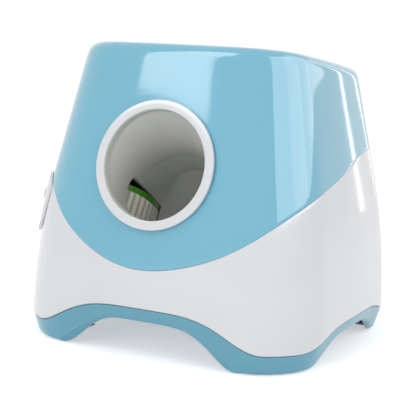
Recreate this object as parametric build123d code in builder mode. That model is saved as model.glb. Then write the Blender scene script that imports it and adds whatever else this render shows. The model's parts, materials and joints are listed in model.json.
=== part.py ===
from build123d import *
import os
from math import acos, asin, atan, cos, degrees, hypot, pi, radians, sin, sqrt, tan

# A ball launcher for pets: a bowl-topped casing on four corner feet. A ball dropped in the
# hopper waits on a gate, falls down a bent chute and is thrown out of the mouth by two wheels.
# The origin is on the ground under the middle of the casing. +Z is up, -Y is the front, and
# "left" is the left side as seen from the front, which is -X. All sizes are in millimetres.

# Casing: a rounded square that narrows upward under a slanted rim
base_half = 113.0
rim_half = 85.0
casing_base = 12.0
casing_rise = 190.0
knee_rise = 109.0
face_bow = 2.0
base_chord = 60.0
rim_chord = 45.0
rim_chord_drop = base_chord - rim_chord
casing_wall = 2.5
rim_tilt = 4.84
rim_round = 9.0
rim_stock = 15.0
hopper_inset = 13.0
seam_gap = 0.15

# Seam between the casing's two shells: azimuth from the front, towards +X, and height
wave_points = [
    (0, 60.4),
    (13.7, 65.0),
    (28.8, 77.7),
    (42, 96.0),
    (53, 109.0),
    (77, 122.6),
    (98, 132.7),
    (135, 142.0),
    (180, 147.0),
    (225, 142.0),
    (262, 132.0),
    (285, 124.0),
    (305, 114.0),
    (318, 103.5),
    (330, 82.5),
    (343, 66.0),
]
wave_inner_radius = 30.0
wave_outer_radius = 190.0

# Arches along the lower edge: half span, height at the corners and height at the middle
shell_arch_span = 85.0
shell_arch_low = 14.4
front_shell_arch = 34.8
side_shell_arch = 25.5
tray_arch_span = 72.0
front_tray_arch = 25.6
side_tray_arch = 16.7

# Base tray
tray_low = 2.0
tray_low_half = 108.0
tray_top = 38.0
tray_wall = 2.5
tray_gap = 0.3
floor_low = 26.0
floor_thickness = 2.5
floor_top = floor_low + floor_thickness
foot_place = 80.5
foot_post_radius = 10.0
foot_plate = 2.5
foot_radius = 8.0
foot_height = 3.2
foot_round = 0.8
foot_gap = 0.3
screw_well_radius = 4.2
screw_well_top = 23.5
corner_post_height = 30.0
corner_screw_length = 24.0

# Launch mouth and chute
ring_height = 129.7
ring_proud = 3.1
ring_bore = 37.0
ring_outer = 43.1
ring_flange = 2.9
ring_barrel = 40.2
ring_depth = 7.0
ring_round = 0.9
ring_gap = 0.4
axis_drop = 5.2
launch_elevation = 30.0
chute_bore = 34.0
chute_wall = 2.5
bell_length = 21.0
bend_along = 65.4
bend_radius = 38.0
throat_height = 150.0
chute_lug_radius = 5.0
chute_lug_half = 6.0
chute_lug_sink = 1.5
chute_lug_along = 30.0
chute_lug_below_throat = 9.0
chute_leg_half = 12.0
chute_leg_depth = 16.0
leg_flange = 3.0
leg_foot = 9.0

# Wheels and motors
wheel_along = 58.4
wheel_spread = 58.5
tyre_radius = 34.0
tyre_inner = 30.0
tyre_width = 24.0
tyre_ribs = 42
groove_width = 1.7
groove_depth = 1.3
flange_height = 4.0
flange_radius = 33.2
hub_rim = 2.4
hub_web = 3.0
hub_boss = 6.0
hub_recess = 2.0
hub_holes = 5
hub_hole_radius = 6.0
window_clearance = 2.5
window_above = 9.5
window_below = 28.0
motor_face_drop = 30.0
motor_length = 36.0
motor_radius = 14.0
motor_boss_radius = 5.0
motor_boss_height = 2.0
motor_round = 1.2
motor_screw_reach = 8.0
motor_screw_depth = 6.0
shaft_radius = 1.6
shaft_reach = 3.0
shaft_clearance = 0.05
shaft_end_gap = 0.3
mount_thickness = 2.5
mount_half = 17.0
mount_foot = 9.5
mount_foot_front = -73.0
mount_foot_back = -53.0

# Ball gate and its drive
gate_back = 53.4
gate_height = 141.0
gate_tip = 14.0
gate_width = 26.0
gate_thickness = 3.0
gate_hub_radius = 4.0
gate_pin_radius = 1.5
gate_slot_gap = 1.5
gate_slot_low = 100.0
gate_slot_top = 145.0
lug_thickness = 3.0
lug_low = 112.0
lug_top = 148.0
lug_round = 3.0
lug_past_axis = 6.0
gate_round = 8.0
gate_side_gap = 1.0
pin_past_lug = 1.0
gear_module = 1.0
gear_teeth = 24
pinion_teeth = 12
gear_width = 4.5
gear_gap = 0.8
addendum = 0.8
dedendum = 1.15
backlash = 0.12
mesh_gap = 0.05
pressure_angle = 20.0
gate_motor_radius = 10.0
gate_motor_length = 25.0
gate_shaft_radius = 1.0
gate_plate = 2.0
gate_plate_edge = 5.5
gate_shaft_seat = 3.0
gate_shaft_hole = 3.0
gate_screw_y = 50.0
gate_screw_rise = 4.0
gate_screw_pitch = 8.0

# Light gate in the drop shaft
sensor_radius = 2.5
sensor_height = 134.0
sensor_length = 7.0
sensor_collar = 1.2
sensor_collar_height = 1.5
sensor_sink = 0.2

# Battery box, cells and door
cell_radius = 13.0
cell_length = 50.0
cell_gap = 0.8
cell_rows = 3
cell_nub_radius = 3.5
cell_nub = 1.3
cell_end_gap = 0.1
contact_side = 16.0
contact_thickness = 0.5
box_wall = 2.0
box_front = 15.5
box_roof = 2.5
box_head_room = 1.0
box_tab = 13.0
box_tab_width = 10.0
box_tab_inset = 14.0
box_tab_screw = 4.5
box_clearance = 0.3
door_overlap = 4.0
door_thickness = 2.4
door_gap = 0.2
door_screw_out = 2.5
door_tongue = 8.0
door_tongue_width = 20.0
hinge_radius = 2.6
hinge_pin_radius = 1.5
hinge_eye_wall = 0.4
hinge_end_gap = 0.3
hinge_lug = 6.0
hinge_half = 44.0

# Boards
board_thickness = 1.6
board_round = 2.0
board_half = 42.0
board_front = 50.0
board_depth = 46.0
board_post = 5.0
board_post_radius = 3.0
board_screw_inset = 5.0
board_blocks = [(-20, 23, 10, 10, 1.6), (2, 14, 8, 5, 1.6)]
board_blocks += [(x, 5, 9, 6, 7) for x in (-24, -8, 8, 24)]
capacitor_radius = 4.0
capacitor_height = 9.0
capacitor_places = [(14, 34), (24, 34)]
buzzer_place = (-28, 38)
buzzer_radius = 5.5
buzzer_height = 7.5
buzzer_hole_radius = 1.2
buzzer_hole_depth = 1.5

# Control pod on the left face
pod_front = -89.0
pod_back = -29.0
pod_low = 71.0
pod_high = 114.0
pod_corner = 14.0
pod_proud = 2.2
pod_seat = 0.3
pod_lap = 2.5
controls_y = -52.5
pod_post_radius = 2.5
pod_post_x = 16.0
pod_post_y = 13.2
button_radius = 7.2
button_gap = 0.3
button_proud = 1.6
button_travel = 1.5
button_flange = 8.2
button_flange_height = 1.2
button_drop = 1.8
button_round = 0.6
button_stem = 2.5
button_spacing = 19.0
button_rise = 4.0
lamp_fall = 11.0
switch_height = 2.0
switch_half = 3.0
control_board_depth = 8.6
control_board_width = 38.0
control_board_height = 32.0
lamp_radius = 1.5
lamp_count = 3
lamp_spacing = 6.0
lamp_depth = 3.0
lamp_proud = 0.4
lamp_source = 3.0

# Power inlet on the back
inlet_side = 62.0
inlet_height = 68.0
inlet_flange = 6.0
inlet_body = 4.8
inlet_bore = 3.1
inlet_depth = 9.5
inlet_pin = 1.0
inlet_length = 13.0
inlet_gap = 0.1
inlet_flange_height = 1.4

# Fasteners
screw_head = 2.8
screw_head_height = 2.0
screw_shank = 1.45
screw_hole = 1.5
screw_slot = 0.8
screw_slot_depth = 1.0
post_radius = 4.5
seam_screw_below = 18.0
seam_screw_above = 15.0
seam_screw_short = 4.0
web_reach = 14.5
web_gap = 4.0

os.makedirs("parts", exist_ok=True)


def save(part, name):
    """Label a finished piece and write it to its own file."""
    part.label = name
    export_step(part, f"parts/{name}.step")


# The casing's form

casing_slope = (base_half - rim_half) / (casing_rise - knee_rise / 2)
rim_height = casing_base + casing_rise
rim_plane = Plane(origin=(0, 0, rim_height), z_dir=(0, sin(radians(rim_tilt)), cos(radians(rim_tilt))))
casing_levels = [casing_base + knee_rise * step / 3 for step in range(4)]
casing_levels += [casing_base + (knee_rise + casing_rise) / 2, rim_height + rim_stock]


def half_width(z):
    """Half width of the casing at height z: curved below the knee, straight above it."""
    rise = z - casing_base
    if rise < knee_rise:
        return base_half - casing_slope * rise**2 / (2 * knee_rise)
    return base_half - casing_slope * (rise - knee_rise / 2)


def side_lean(z):
    """How far the side leans in per millimetre of height, at height z."""
    return casing_slope * min((z - casing_base) / knee_rise, 1.0)


def face_chord(half):
    """Half chord of a face arc on a section of this half width."""
    return base_chord - rim_chord_drop * (base_half - half) / (base_half - rim_half)


def face_radius(half):
    """Radius of the shallow arc that each face follows."""
    chord = face_chord(half)
    return (chord**2 + face_bow**2) / (2 * face_bow)


def rounded_square(z, half, inset=0.0):
    """A level section: four bowed faces joined by four tangent corner arcs."""
    chord = face_chord(half)
    lean = asin(chord / face_radius(half))
    corner_radius = (half - face_bow - chord) / (cos(lean) - sin(lean))
    along = chord - inset * sin(lean)
    out = half - face_bow - inset * cos(lean)
    corner_centre = chord - corner_radius * sin(lean)
    corner = corner_centre + (corner_radius - inset) / sqrt(2)
    with BuildSketch(Plane.XY.offset(z)) as section:
        with BuildLine():
            for turn in (0, 90, 180, 270):
                start = Vector(out, -along).rotate(Axis.Z, turn)
                middle = Vector(half - inset, 0).rotate(Axis.Z, turn)
                end = Vector(out, along).rotate(Axis.Z, turn)
                bend = Vector(corner, corner).rotate(Axis.Z, turn)
                leave = Vector(along, out).rotate(Axis.Z, turn)
                ThreePointArc(start, middle, end)
                ThreePointArc(end, bend, leave)
        make_face()
    return section.sketch


def casing_form(inset, low, high=None):
    """The casing's outside, taken in by an inset, from one height up to another or to the top."""
    top = casing_levels[-1] if high is None else high
    heights = [low] + [z for z in casing_levels if low < z < top] + [top]
    with BuildPart() as form:
        loft(sections=[rounded_square(z, half_width(z), inset) for z in heights])
    return form.part


def rim_trimmed(form, drop, edge_round):
    """Cut a form off along the slanted rim and round its top edge."""
    with BuildPart() as trimmed:
        add(form)
        split(bisect_by=rim_plane.offset(-drop), keep=Keep.BOTTOM)
        fillet(trimmed.faces().sort_by(Axis.Z)[-1].edges(), radius=edge_round)
    return trimmed.part


def wave_loop(radius, shift):
    """The seam line carried out to a radius and shifted in height."""
    points = []
    for azimuth, height in wave_points:
        angle = radians(azimuth)
        points.append((radius * sin(angle), -radius * cos(angle), height + shift))
    return Spline(points, periodic=True).edge()


def above_wave(shift=0.0):
    """The space above the seam, as a solid that the casing is cut with."""
    surface = Face.make_surface_from_curves(
        wave_loop(wave_inner_radius, shift), wave_loop(wave_outer_radius, shift)
    )
    return extrude(surface, amount=2 * casing_rise, dir=(0, 0, 1), mode=Mode.PRIVATE)


def wave_height(x, y):
    """Height of the seam at a place near the wall, straight between the given points."""
    azimuth = degrees(acos(-y / hypot(x, y)))
    if x < 0:
        azimuth = 360 - azimuth
    closed = wave_points + [(360, wave_points[0][1])]
    for (start, low), (end, high) in zip(closed, closed[1:]):
        if start <= azimuth <= end:
            return low + (high - low) * (azimuth - start) / (end - start)
    return closed[0][1]


def arch_cutter(span, low, top, along_y):
    """Everything under an arched edge, right through the casing along Y or along X."""
    plane = Plane.XZ if along_y else Plane.YZ
    steps = 16
    points = []
    for step in range(steps + 1):
        share = 2 * step / steps - 1
        height = low + (top - low) * cos(pi / 2 * share**2) ** 2
        points.append((span * share, height))
    reach = 2 * base_half
    with BuildPart() as cutter:
        with BuildSketch(plane):
            with BuildLine():
                Spline(points, tangents=[(1, 0), (1, 0)])
                Polyline(
                    (span, low),
                    (reach, low),
                    (reach, -reach),
                    (-reach, -reach),
                    (-reach, low),
                    (-span, low),
                )
            make_face()
        extrude(amount=reach, both=True)
    return cutter.part


casing_outer = rim_trimmed(casing_form(0, casing_base), 0, rim_round)
casing_cavity = rim_trimmed(casing_form(casing_wall, 0), casing_wall, rim_round - casing_wall)
upper_space = above_wave()

# The launch line: stations run inward and down from the mouth, "up" is square to them

ring_lean = degrees(atan(side_lean(ring_height)))
ring_normal = Vector(0, -cos(radians(ring_lean)), sin(radians(ring_lean)))
ring_up = Vector(0, sin(radians(ring_lean)), cos(radians(ring_lean)))
ring_centre = Vector(0, -half_width(ring_height) - ring_proud, ring_height)
ring_plane = Plane(origin=ring_centre, x_dir=(1, 0, 0), z_dir=ring_normal)
launch_angle = radians(launch_elevation)
inward = Vector(0, cos(launch_angle), -sin(launch_angle))
upward = Vector(0, sin(launch_angle), cos(launch_angle))
mouth_point = ring_centre - ring_up * axis_drop


def chute_point(side, along, up):
    """A place given by its offset to the side, its station and its height above the line."""
    return mouth_point + Vector(side, 0, 0) + inward * along + upward * up


def station_plane(along):
    """A plane square to the launch line at a station, facing inward."""
    return Plane(origin=chute_point(0, along, 0), x_dir=(1, 0, 0), z_dir=inward)


def axle_plane(side, up):
    """A plane square to a wheel's axle, at a height above the launch line."""
    return Plane(origin=chute_point(side, wheel_along, up), x_dir=(1, 0, 0), z_dir=upward)


bend_centre = chute_point(0, bend_along, bend_radius)
shaft_y = bend_centre.Y + bend_radius
bell_plane = ring_plane.offset(-ring_depth)


def chute_disc(plane, radius, side):
    """A disc on a plane square to the chute, or only its half on one side of the middle."""
    with BuildSketch(plane) as disc:
        Circle(radius)
        if side:
            away = Align.MAX if side > 0 else Align.MIN
            Rectangle(radius, 2 * radius, align=(away, Align.CENTER), mode=Mode.SUBTRACT)
    return disc.sketch


def chute_form(grow, side=0):
    """The chute's bore, grown outward: bell, launch tube, bend and drop shaft."""
    bell_start = chute_disc(bell_plane, ring_bore + grow, side)
    bell_end = chute_disc(station_plane(bell_length), chute_bore + grow, side)
    bend_start = chute_disc(station_plane(bend_along), chute_bore + grow, side)
    shaft_plane = Plane(origin=(0, shaft_y, bend_centre.Z))
    shaft_start = chute_disc(shaft_plane, chute_bore + grow, side)
    bend_axis = Axis(bend_centre, (1, 0, 0))
    with BuildPart() as form:
        loft(sections=[bell_start, bell_end])
        extrude(bell_end, amount=bend_along - bell_length)
        revolve(bend_start, axis=bend_axis, revolution_arc=90 + launch_elevation)
        extrude(shaft_start, amount=throat_height - bend_centre.Z)
    return form.part


chute_inside = chute_form(0)
wheel_sides = (("left", -1), ("right", 1))

# Places that several pieces share

corner_places = [(x, y) for x in (-foot_place, foot_place) for y in (-foot_place, foot_place)]
gate_axis = Vector(0, gate_back, gate_height)
pinion_distance = gear_module * (gear_teeth + pinion_teeth) / 2 + mesh_gap
pinion_axis = gate_axis + Vector(0, pinion_distance, 0)
lug_inner = gate_width / 2 + gate_slot_gap + gate_side_gap
lug_outer = lug_inner + lug_thickness
plate_outer = lug_outer + gate_plate
gear_start = plate_outer + gear_gap
gate_screw_low = lug_low + gate_screw_rise
gate_screw_places = [(gate_screw_y, gate_screw_low), (gate_screw_y, gate_screw_low + gate_screw_pitch)]

box_half = cell_length + cell_end_gap + box_clearance + contact_thickness
cell_pitch = 2 * cell_radius + cell_gap
box_depth = cell_rows * cell_pitch
box_back = box_front + box_depth
box_ceiling = floor_top + 2 * cell_radius + box_head_room
box_top = box_ceiling + box_roof
box_centre = (box_front + box_back) / 2
cell_height = box_ceiling - box_clearance - cell_radius
cell_places = [box_front + cell_pitch * (row + 0.5) for row in range(cell_rows)]
hinge_y = box_front - door_overlap - hinge_radius
hinge_z = floor_low - door_gap - hinge_radius
door_back = box_back + door_overlap
door_screw_y = box_back + box_wall + door_screw_out
screw_boss_radius = 4.0
screw_boss_depth = 6.5

mount_foot_places = []
mount_foot_x = wheel_spread + mount_half + mount_foot / 2
for name, side in wheel_sides:
    mount_foot_places.append((side * mount_foot_x, mount_foot_front + 4))
    mount_foot_places.append((side * mount_foot_x, mount_foot_back - 5))
leg_foot_places = [
    (side * (chute_leg_half + leg_foot / 2), bend_centre.Y) for side in (-1, 1)
]
box_tab_places = []
for x in (-1, 1):
    for y in (box_front + box_tab_inset, box_back - box_tab_inset):
        box_tab_places.append((x * (box_half + box_wall + box_tab - box_tab_screw), y))
floor_screw_places = mount_foot_places + leg_foot_places + box_tab_places

seam_places = [(-30, -98), (30, -98), (-88, 26), (88, 26), (-30, 84), (30, 84)]
seam_webs = [(0, -1), (0, -1), (-1, 0), (1, 0), (0, 1), (0, 1)]

hopper_screw_place = 66.0
hopper_boss_drop = 8.0
hopper_boss_radius = 4.0
board_places = [
    (x, y)
    for x in (board_screw_inset - board_half, board_half - board_screw_inset)
    for y in (board_front + board_screw_inset, board_front + board_depth - board_screw_inset)
]
board_z = box_top + board_post


def add_screw(place, length):
    """A pan head screw: its head sits on the place and its shank runs down the place's -Z."""
    with Locations(place):
        Cylinder(screw_head, screw_head_height, align=(Align.CENTER, Align.CENTER, Align.MIN))
        Cylinder(screw_shank, length, align=(Align.CENTER, Align.CENTER, Align.MAX))
    with Locations(Location(place) * Location((0, 0, screw_head_height))):
        for wide, deep in ((1.3 * screw_head, screw_slot), (screw_slot, 1.3 * screw_head)):
            Box(
                wide,
                deep,
                screw_slot_depth,
                align=(Align.CENTER, Align.CENTER, Align.MAX),
                mode=Mode.SUBTRACT,
            )


# Casing shells

mid_wall = casing_form(casing_wall / 2, 0)


def seam_posts(start, end, web_start, web_end, hole_end):
    """Screw posts along the seam, with webs to the wall, at heights counted from the seam."""
    with BuildPart() as posts:
        for (x, y), (out_x, out_y) in zip(seam_places, seam_webs):
            seam = wave_height(x, y)
            with BuildSketch(Plane.XY.offset(seam + start)):
                with Locations((x, y)):
                    Circle(post_radius)
            extrude(amount=end - start)
            with BuildSketch(Plane.XY.offset(seam + web_start)):
                wide = 2 * web_reach if out_x else casing_wall
                deep = 2 * web_reach if out_y else casing_wall
                with Locations((x + out_x * web_reach, y + out_y * web_reach)):
                    Rectangle(wide, deep)
            extrude(amount=web_end - web_start)
            with BuildSketch(Plane.XY.offset(seam + start)):
                with Locations((x, y)):
                    Circle(screw_hole)
            extrude(amount=hole_end - start, mode=Mode.SUBTRACT)
        add(mid_wall, mode=Mode.INTERSECT)
    return posts.part


lower_posts = seam_posts(-seam_screw_below, 0, -seam_screw_below, -web_gap, 0)
upper_posts = seam_posts(seam_gap, seam_screw_above, web_gap, seam_screw_above, seam_screw_above - 2)

with BuildPart() as corner_posts:
    for x, y in corner_places:
        turn = 45 if x * y > 0 else -45
        side = 1 if x > 0 else -1
        with BuildSketch(Plane.XY.offset(floor_top + tray_gap)):
            with Locations((x, y)):
                Circle(post_radius)
        extrude(amount=corner_post_height)
        with BuildSketch(Plane.XY.offset(tray_top + 1)):
            with Locations(Location((x, y), turn)):
                with Locations((side * 3 * post_radius, 0)):
                    Rectangle(6 * post_radius, casing_wall)
        extrude(amount=floor_top + tray_gap + corner_post_height - tray_top - 1)
    add(mid_wall, mode=Mode.INTERSECT)
    with BuildSketch(Plane.XY.offset(floor_top)):
        with Locations(*corner_places):
            Circle(screw_hole)
    extrude(amount=corner_screw_length, mode=Mode.SUBTRACT)

with BuildPart() as hopper_bosses:
    with BuildSketch(rim_plane.offset(-casing_wall - hopper_boss_drop)):
        with GridLocations(2 * hopper_screw_place, 2 * hopper_screw_place, 2, 2):
            Circle(hopper_boss_radius)
    extrude(amount=hopper_boss_drop + casing_wall / 2)
    with BuildSketch(rim_plane.offset(-casing_wall - hopper_boss_drop)):
        with GridLocations(2 * hopper_screw_place, 2 * hopper_screw_place, 2, 2):
            Circle(screw_hole)
    extrude(amount=hopper_boss_drop, mode=Mode.SUBTRACT)

with BuildPart() as rim_opening:
    add(casing_form(hopper_inset, rim_height - 2 * rim_stock))

with BuildPart() as casing:
    add(casing_outer)
    add(casing_cavity, mode=Mode.SUBTRACT)

with BuildPart() as upper_shell:
    add(casing.part)
    add(above_wave(seam_gap), mode=Mode.INTERSECT)
    add(rim_opening.part, mode=Mode.SUBTRACT)
    add(hopper_bosses.part)
    add(upper_posts)
    with BuildSketch(ring_plane.offset(-ring_proud - 4 * casing_wall)):
        Circle(ring_barrel + ring_gap)
    extrude(amount=8 * casing_wall, mode=Mode.SUBTRACT)

pod_middle = (pod_front + pod_back) / 2
pod_level = (pod_low + pod_high) / 2
pod_width = pod_back - pod_front
pod_tall = pod_high - pod_low
pod_outline_plane = Plane.YZ.offset(-base_half - 2 * casing_wall)


def pod_prism(inset):
    """The pod's outline carried in through the left wall."""
    with BuildPart() as prism:
        with BuildSketch(pod_outline_plane):
            with Locations((pod_middle, pod_level)):
                RectangleRounded(pod_width - 2 * inset, pod_tall - 2 * inset, pod_corner - inset)
        extrude(amount=base_half / 2)
    return prism.part


inlet_y = half_width(inlet_height) - inlet_side**2 / (2 * face_radius(half_width(inlet_height)))
inlet_turn = asin(inlet_side / face_radius(half_width(inlet_height)))
inlet_normal = (sin(inlet_turn), cos(inlet_turn), side_lean(inlet_height))
inlet_plane = Plane(origin=(inlet_side, inlet_y, inlet_height), z_dir=inlet_normal)

with BuildPart() as lower_shell:
    add(casing.part)
    add(upper_space, mode=Mode.SUBTRACT)
    add(rim_opening.part, mode=Mode.SUBTRACT)
    add(lower_posts)
    add(corner_posts.part)
    add(arch_cutter(shell_arch_span, shell_arch_low, front_shell_arch, True), mode=Mode.SUBTRACT)
    add(arch_cutter(shell_arch_span, shell_arch_low, side_shell_arch, False), mode=Mode.SUBTRACT)
    add(pod_prism(pod_lap), mode=Mode.SUBTRACT)
    with BuildSketch(inlet_plane.offset(-2 * casing_wall)):
        Circle(inlet_body + button_gap)
    extrude(amount=4 * casing_wall, mode=Mode.SUBTRACT)

save(upper_shell.part, "upper_shell")
save(lower_shell.part, "lower_shell")

with BuildPart() as seam_screws:
    for x, y in seam_places:
        low = wave_height(x, y) - seam_screw_below
        length = seam_screw_below + seam_screw_above - seam_screw_short
        add_screw(Location((x, y, low), (180, 0, 0)), length)
save(seam_screws.part, "seam_screws")

# Base tray with its feet

tray_top_half = half_width(tray_top) - casing_wall - tray_gap
tray_taper = (tray_top_half - tray_low_half) / (tray_top - tray_low)


def tray_section(z, inset):
    """A level section of the tray, which narrows towards the ground."""
    return rounded_square(z, tray_low_half + tray_taper * (z - tray_low), inset)


with BuildPart() as base_tray:
    loft(sections=[tray_section(tray_low, 0), tray_section(tray_top, 0)])
    loft(
        sections=[tray_section(floor_top, tray_wall), tray_section(tray_top + 1, tray_wall)],
        mode=Mode.SUBTRACT,
    )
    loft(
        sections=[
            tray_section(tray_low + foot_plate, tray_wall),
            tray_section(floor_low, tray_wall),
        ],
        mode=Mode.SUBTRACT,
    )
    with BuildSketch(Plane.XY.offset(tray_low)):
        with Locations(*corner_places):
            Circle(foot_post_radius)
    extrude(amount=floor_low - tray_low)
    with BuildSketch(Plane.XY.offset(floor_low - screw_boss_depth)):
        with Locations(*floor_screw_places, (0, door_screw_y)):
            Circle(screw_boss_radius)
    extrude(amount=screw_boss_depth)
    with BuildSketch(Plane.XY.offset(floor_low)):
        with Locations((0, box_centre)):
            Rectangle(2 * box_half, box_depth)
    extrude(amount=floor_thickness, mode=Mode.SUBTRACT)
    for side in (-1, 1):
        with BuildSketch(Plane.YZ.offset(side * (hinge_half - hinge_lug / 2))):
            with Locations((hinge_y, hinge_z)):
                Circle(hinge_radius + hinge_eye_wall)
            with Locations((hinge_y, (hinge_z + floor_low) / 2)):
                Rectangle(2 * hinge_radius, floor_low - hinge_z)
        extrude(amount=hinge_lug / 2, both=True)
    with BuildSketch(Plane.YZ):
        with Locations((hinge_y, hinge_z)):
            Circle(hinge_pin_radius + shaft_clearance)
    extrude(amount=hinge_half + hinge_lug, both=True, mode=Mode.SUBTRACT)
    with BuildSketch(Plane.XY.offset(floor_low - screw_boss_depth)):
        with Locations(*floor_screw_places):
            Circle(screw_hole)
        with Locations((0, door_screw_y)):
            Circle(screw_hole + 0.5)
    extrude(amount=screw_boss_depth + floor_thickness, mode=Mode.SUBTRACT)
    with BuildSketch(Plane.XY.offset(floor_low - screw_boss_depth)):
        with Locations((0, door_screw_y)):
            Circle(screw_boss_radius + 1)
    extrude(amount=screw_boss_depth, mode=Mode.SUBTRACT)
    with BuildSketch(Plane.XY.offset(tray_low)):
        with Locations(*corner_places):
            Circle(screw_well_radius)
    extrude(amount=screw_well_top - tray_low, mode=Mode.SUBTRACT)
    with BuildSketch(Plane.XY.offset(tray_low)):
        with Locations(*corner_places):
            Circle(screw_hole)
    extrude(amount=floor_top - tray_low, mode=Mode.SUBTRACT)
    with BuildSketch(Plane.XY.offset(tray_low)):
        with Locations(*corner_places):
            Circle(foot_radius + foot_gap)
    extrude(amount=foot_height - tray_low, mode=Mode.SUBTRACT)
    add(arch_cutter(tray_arch_span, tray_low, front_tray_arch, True), mode=Mode.SUBTRACT)
    add(arch_cutter(tray_arch_span, tray_low, side_tray_arch, False), mode=Mode.SUBTRACT)
save(base_tray.part, "base_tray")

with BuildPart() as rubber_feet:
    with BuildSketch():
        with Locations(*corner_places):
            Circle(foot_radius)
    extrude(amount=foot_height)
    fillet(rubber_feet.faces().group_by(Axis.Z)[0].edges(), radius=foot_round)
save(rubber_feet.part, "rubber_feet")

with BuildPart() as base_screws:
    for x, y in corner_places:
        add_screw(Location((x, y, screw_well_top), (180, 0, 0)), corner_screw_length)
save(base_screws.part, "base_screws")

# Mouth ring

with BuildPart() as mouth_ring:
    with BuildSketch(ring_plane):
        Circle(ring_outer)
    extrude(amount=-ring_flange)
    with BuildSketch(ring_plane):
        Circle(ring_barrel)
    extrude(amount=-ring_depth)
    with BuildSketch(ring_plane):
        Circle(ring_bore)
    extrude(amount=-ring_depth, mode=Mode.SUBTRACT)
    front_edges = mouth_ring.faces().filter_by(GeomType.PLANE).sort_by(Axis.Y)[0].edges()
    fillet(front_edges, radius=ring_round)
save(mouth_ring.part, "mouth_ring")

# Hopper

hopper_flange = 2.0
hopper_wall = 2.2
hopper_flange_inset = rim_round + 0.5
neck_z = throat_height + 0.2
neck_height = 3.0
ear_drop = casing_wall + hopper_boss_drop
ear_thickness = 2.5
ear_radius = hopper_boss_radius + 0.8
ear_arm = 20.0
boss_gap = 0.3
hopper_screw_length = 8.0


def rim_section(inset, drop):
    """The casing's rim outline laid in the slanted rim plane, taken in and lowered."""
    return rim_plane.offset(-drop) * rounded_square(0, half_width(rim_height), inset)


def throat_section(radius, z):
    """The round throat drawn as eight arcs, so that it lines up with the rim's eight."""
    with BuildSketch(Plane.XY.offset(z)) as throat:
        with BuildLine():
            for step in range(8):
                start = radians(45 * step - 22.5)
                middle = start + radians(22.5)
                end = start + radians(45)
                ThreePointArc(
                    (radius * cos(start), shaft_y + radius * sin(start)),
                    (radius * cos(middle), shaft_y + radius * sin(middle)),
                    (radius * cos(end), shaft_y + radius * sin(end)),
                )
        make_face()
    return throat.sketch


def funnel(grow):
    """The hopper's bowl, from the rim down to the throat, grown outward by a wall."""
    with BuildPart() as bowl:
        loft(
            sections=[
                throat_section(chute_bore + grow, neck_z + neck_height),
                rim_section(hopper_inset + 0.6 - grow, casing_wall),
            ],
            ruled=True,
        )
        with BuildSketch(Plane.XY.offset(neck_z)):
            with Locations((0, shaft_y)):
                Circle(chute_bore + grow)
        extrude(amount=neck_height)
    return bowl.part


with BuildPart() as hopper:
    add(funnel(hopper_wall))
    add(rim_section(hopper_flange_inset, casing_wall))
    extrude(amount=-hopper_flange, dir=rim_plane.z_dir)
    with BuildSketch(rim_plane.offset(-ear_drop)):
        with GridLocations(2 * hopper_screw_place, 2 * hopper_screw_place, 2, 2):
            Circle(ear_radius)
        for turn in (45, 135, 225, 315):
            with Locations(Location((0, 0), turn)):
                with Locations((sqrt(2) * hopper_screw_place - ear_arm / 2, 0)):
                    Rectangle(ear_arm, 2 * ear_radius)
    extrude(amount=-ear_thickness)
    add(funnel(0), mode=Mode.SUBTRACT)
    with BuildSketch(rim_plane.offset(-ear_drop)):
        with GridLocations(2 * hopper_screw_place, 2 * hopper_screw_place, 2, 2):
            Circle(screw_hole)
    extrude(amount=-ear_thickness, mode=Mode.SUBTRACT)
    with BuildSketch(rim_plane.offset(-ear_drop)):
        with GridLocations(2 * hopper_screw_place, 2 * hopper_screw_place, 2, 2):
            Circle(hopper_boss_radius + boss_gap)
    extrude(amount=hopper_boss_drop, mode=Mode.SUBTRACT)
save(hopper.part, "hopper")

with BuildPart() as hopper_screws:
    for x in (-hopper_screw_place, hopper_screw_place):
        for y in (-hopper_screw_place, hopper_screw_place):
            seat = rim_plane.offset(-ear_drop - ear_thickness)
            add_screw(Location(seat) * Location((x, y, 0), (180, 0, 0)), hopper_screw_length)
save(hopper_screws.part, "hopper_screws")

# Chute in two moulded halves, with the gate's lugs, the legs and the lugs that join the halves

chute_lug_out = chute_bore + chute_wall + chute_lug_radius - chute_lug_sink
chute_lug_points = [
    chute_point(0, chute_lug_along, -chute_lug_out),
    chute_point(0, chute_lug_along, chute_lug_out),
    bend_centre + Vector(0, 1, -1) / sqrt(2) * (bend_radius + chute_lug_out),
    Vector(0, shaft_y - chute_lug_out, throat_height - chute_lug_below_throat),
]


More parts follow.
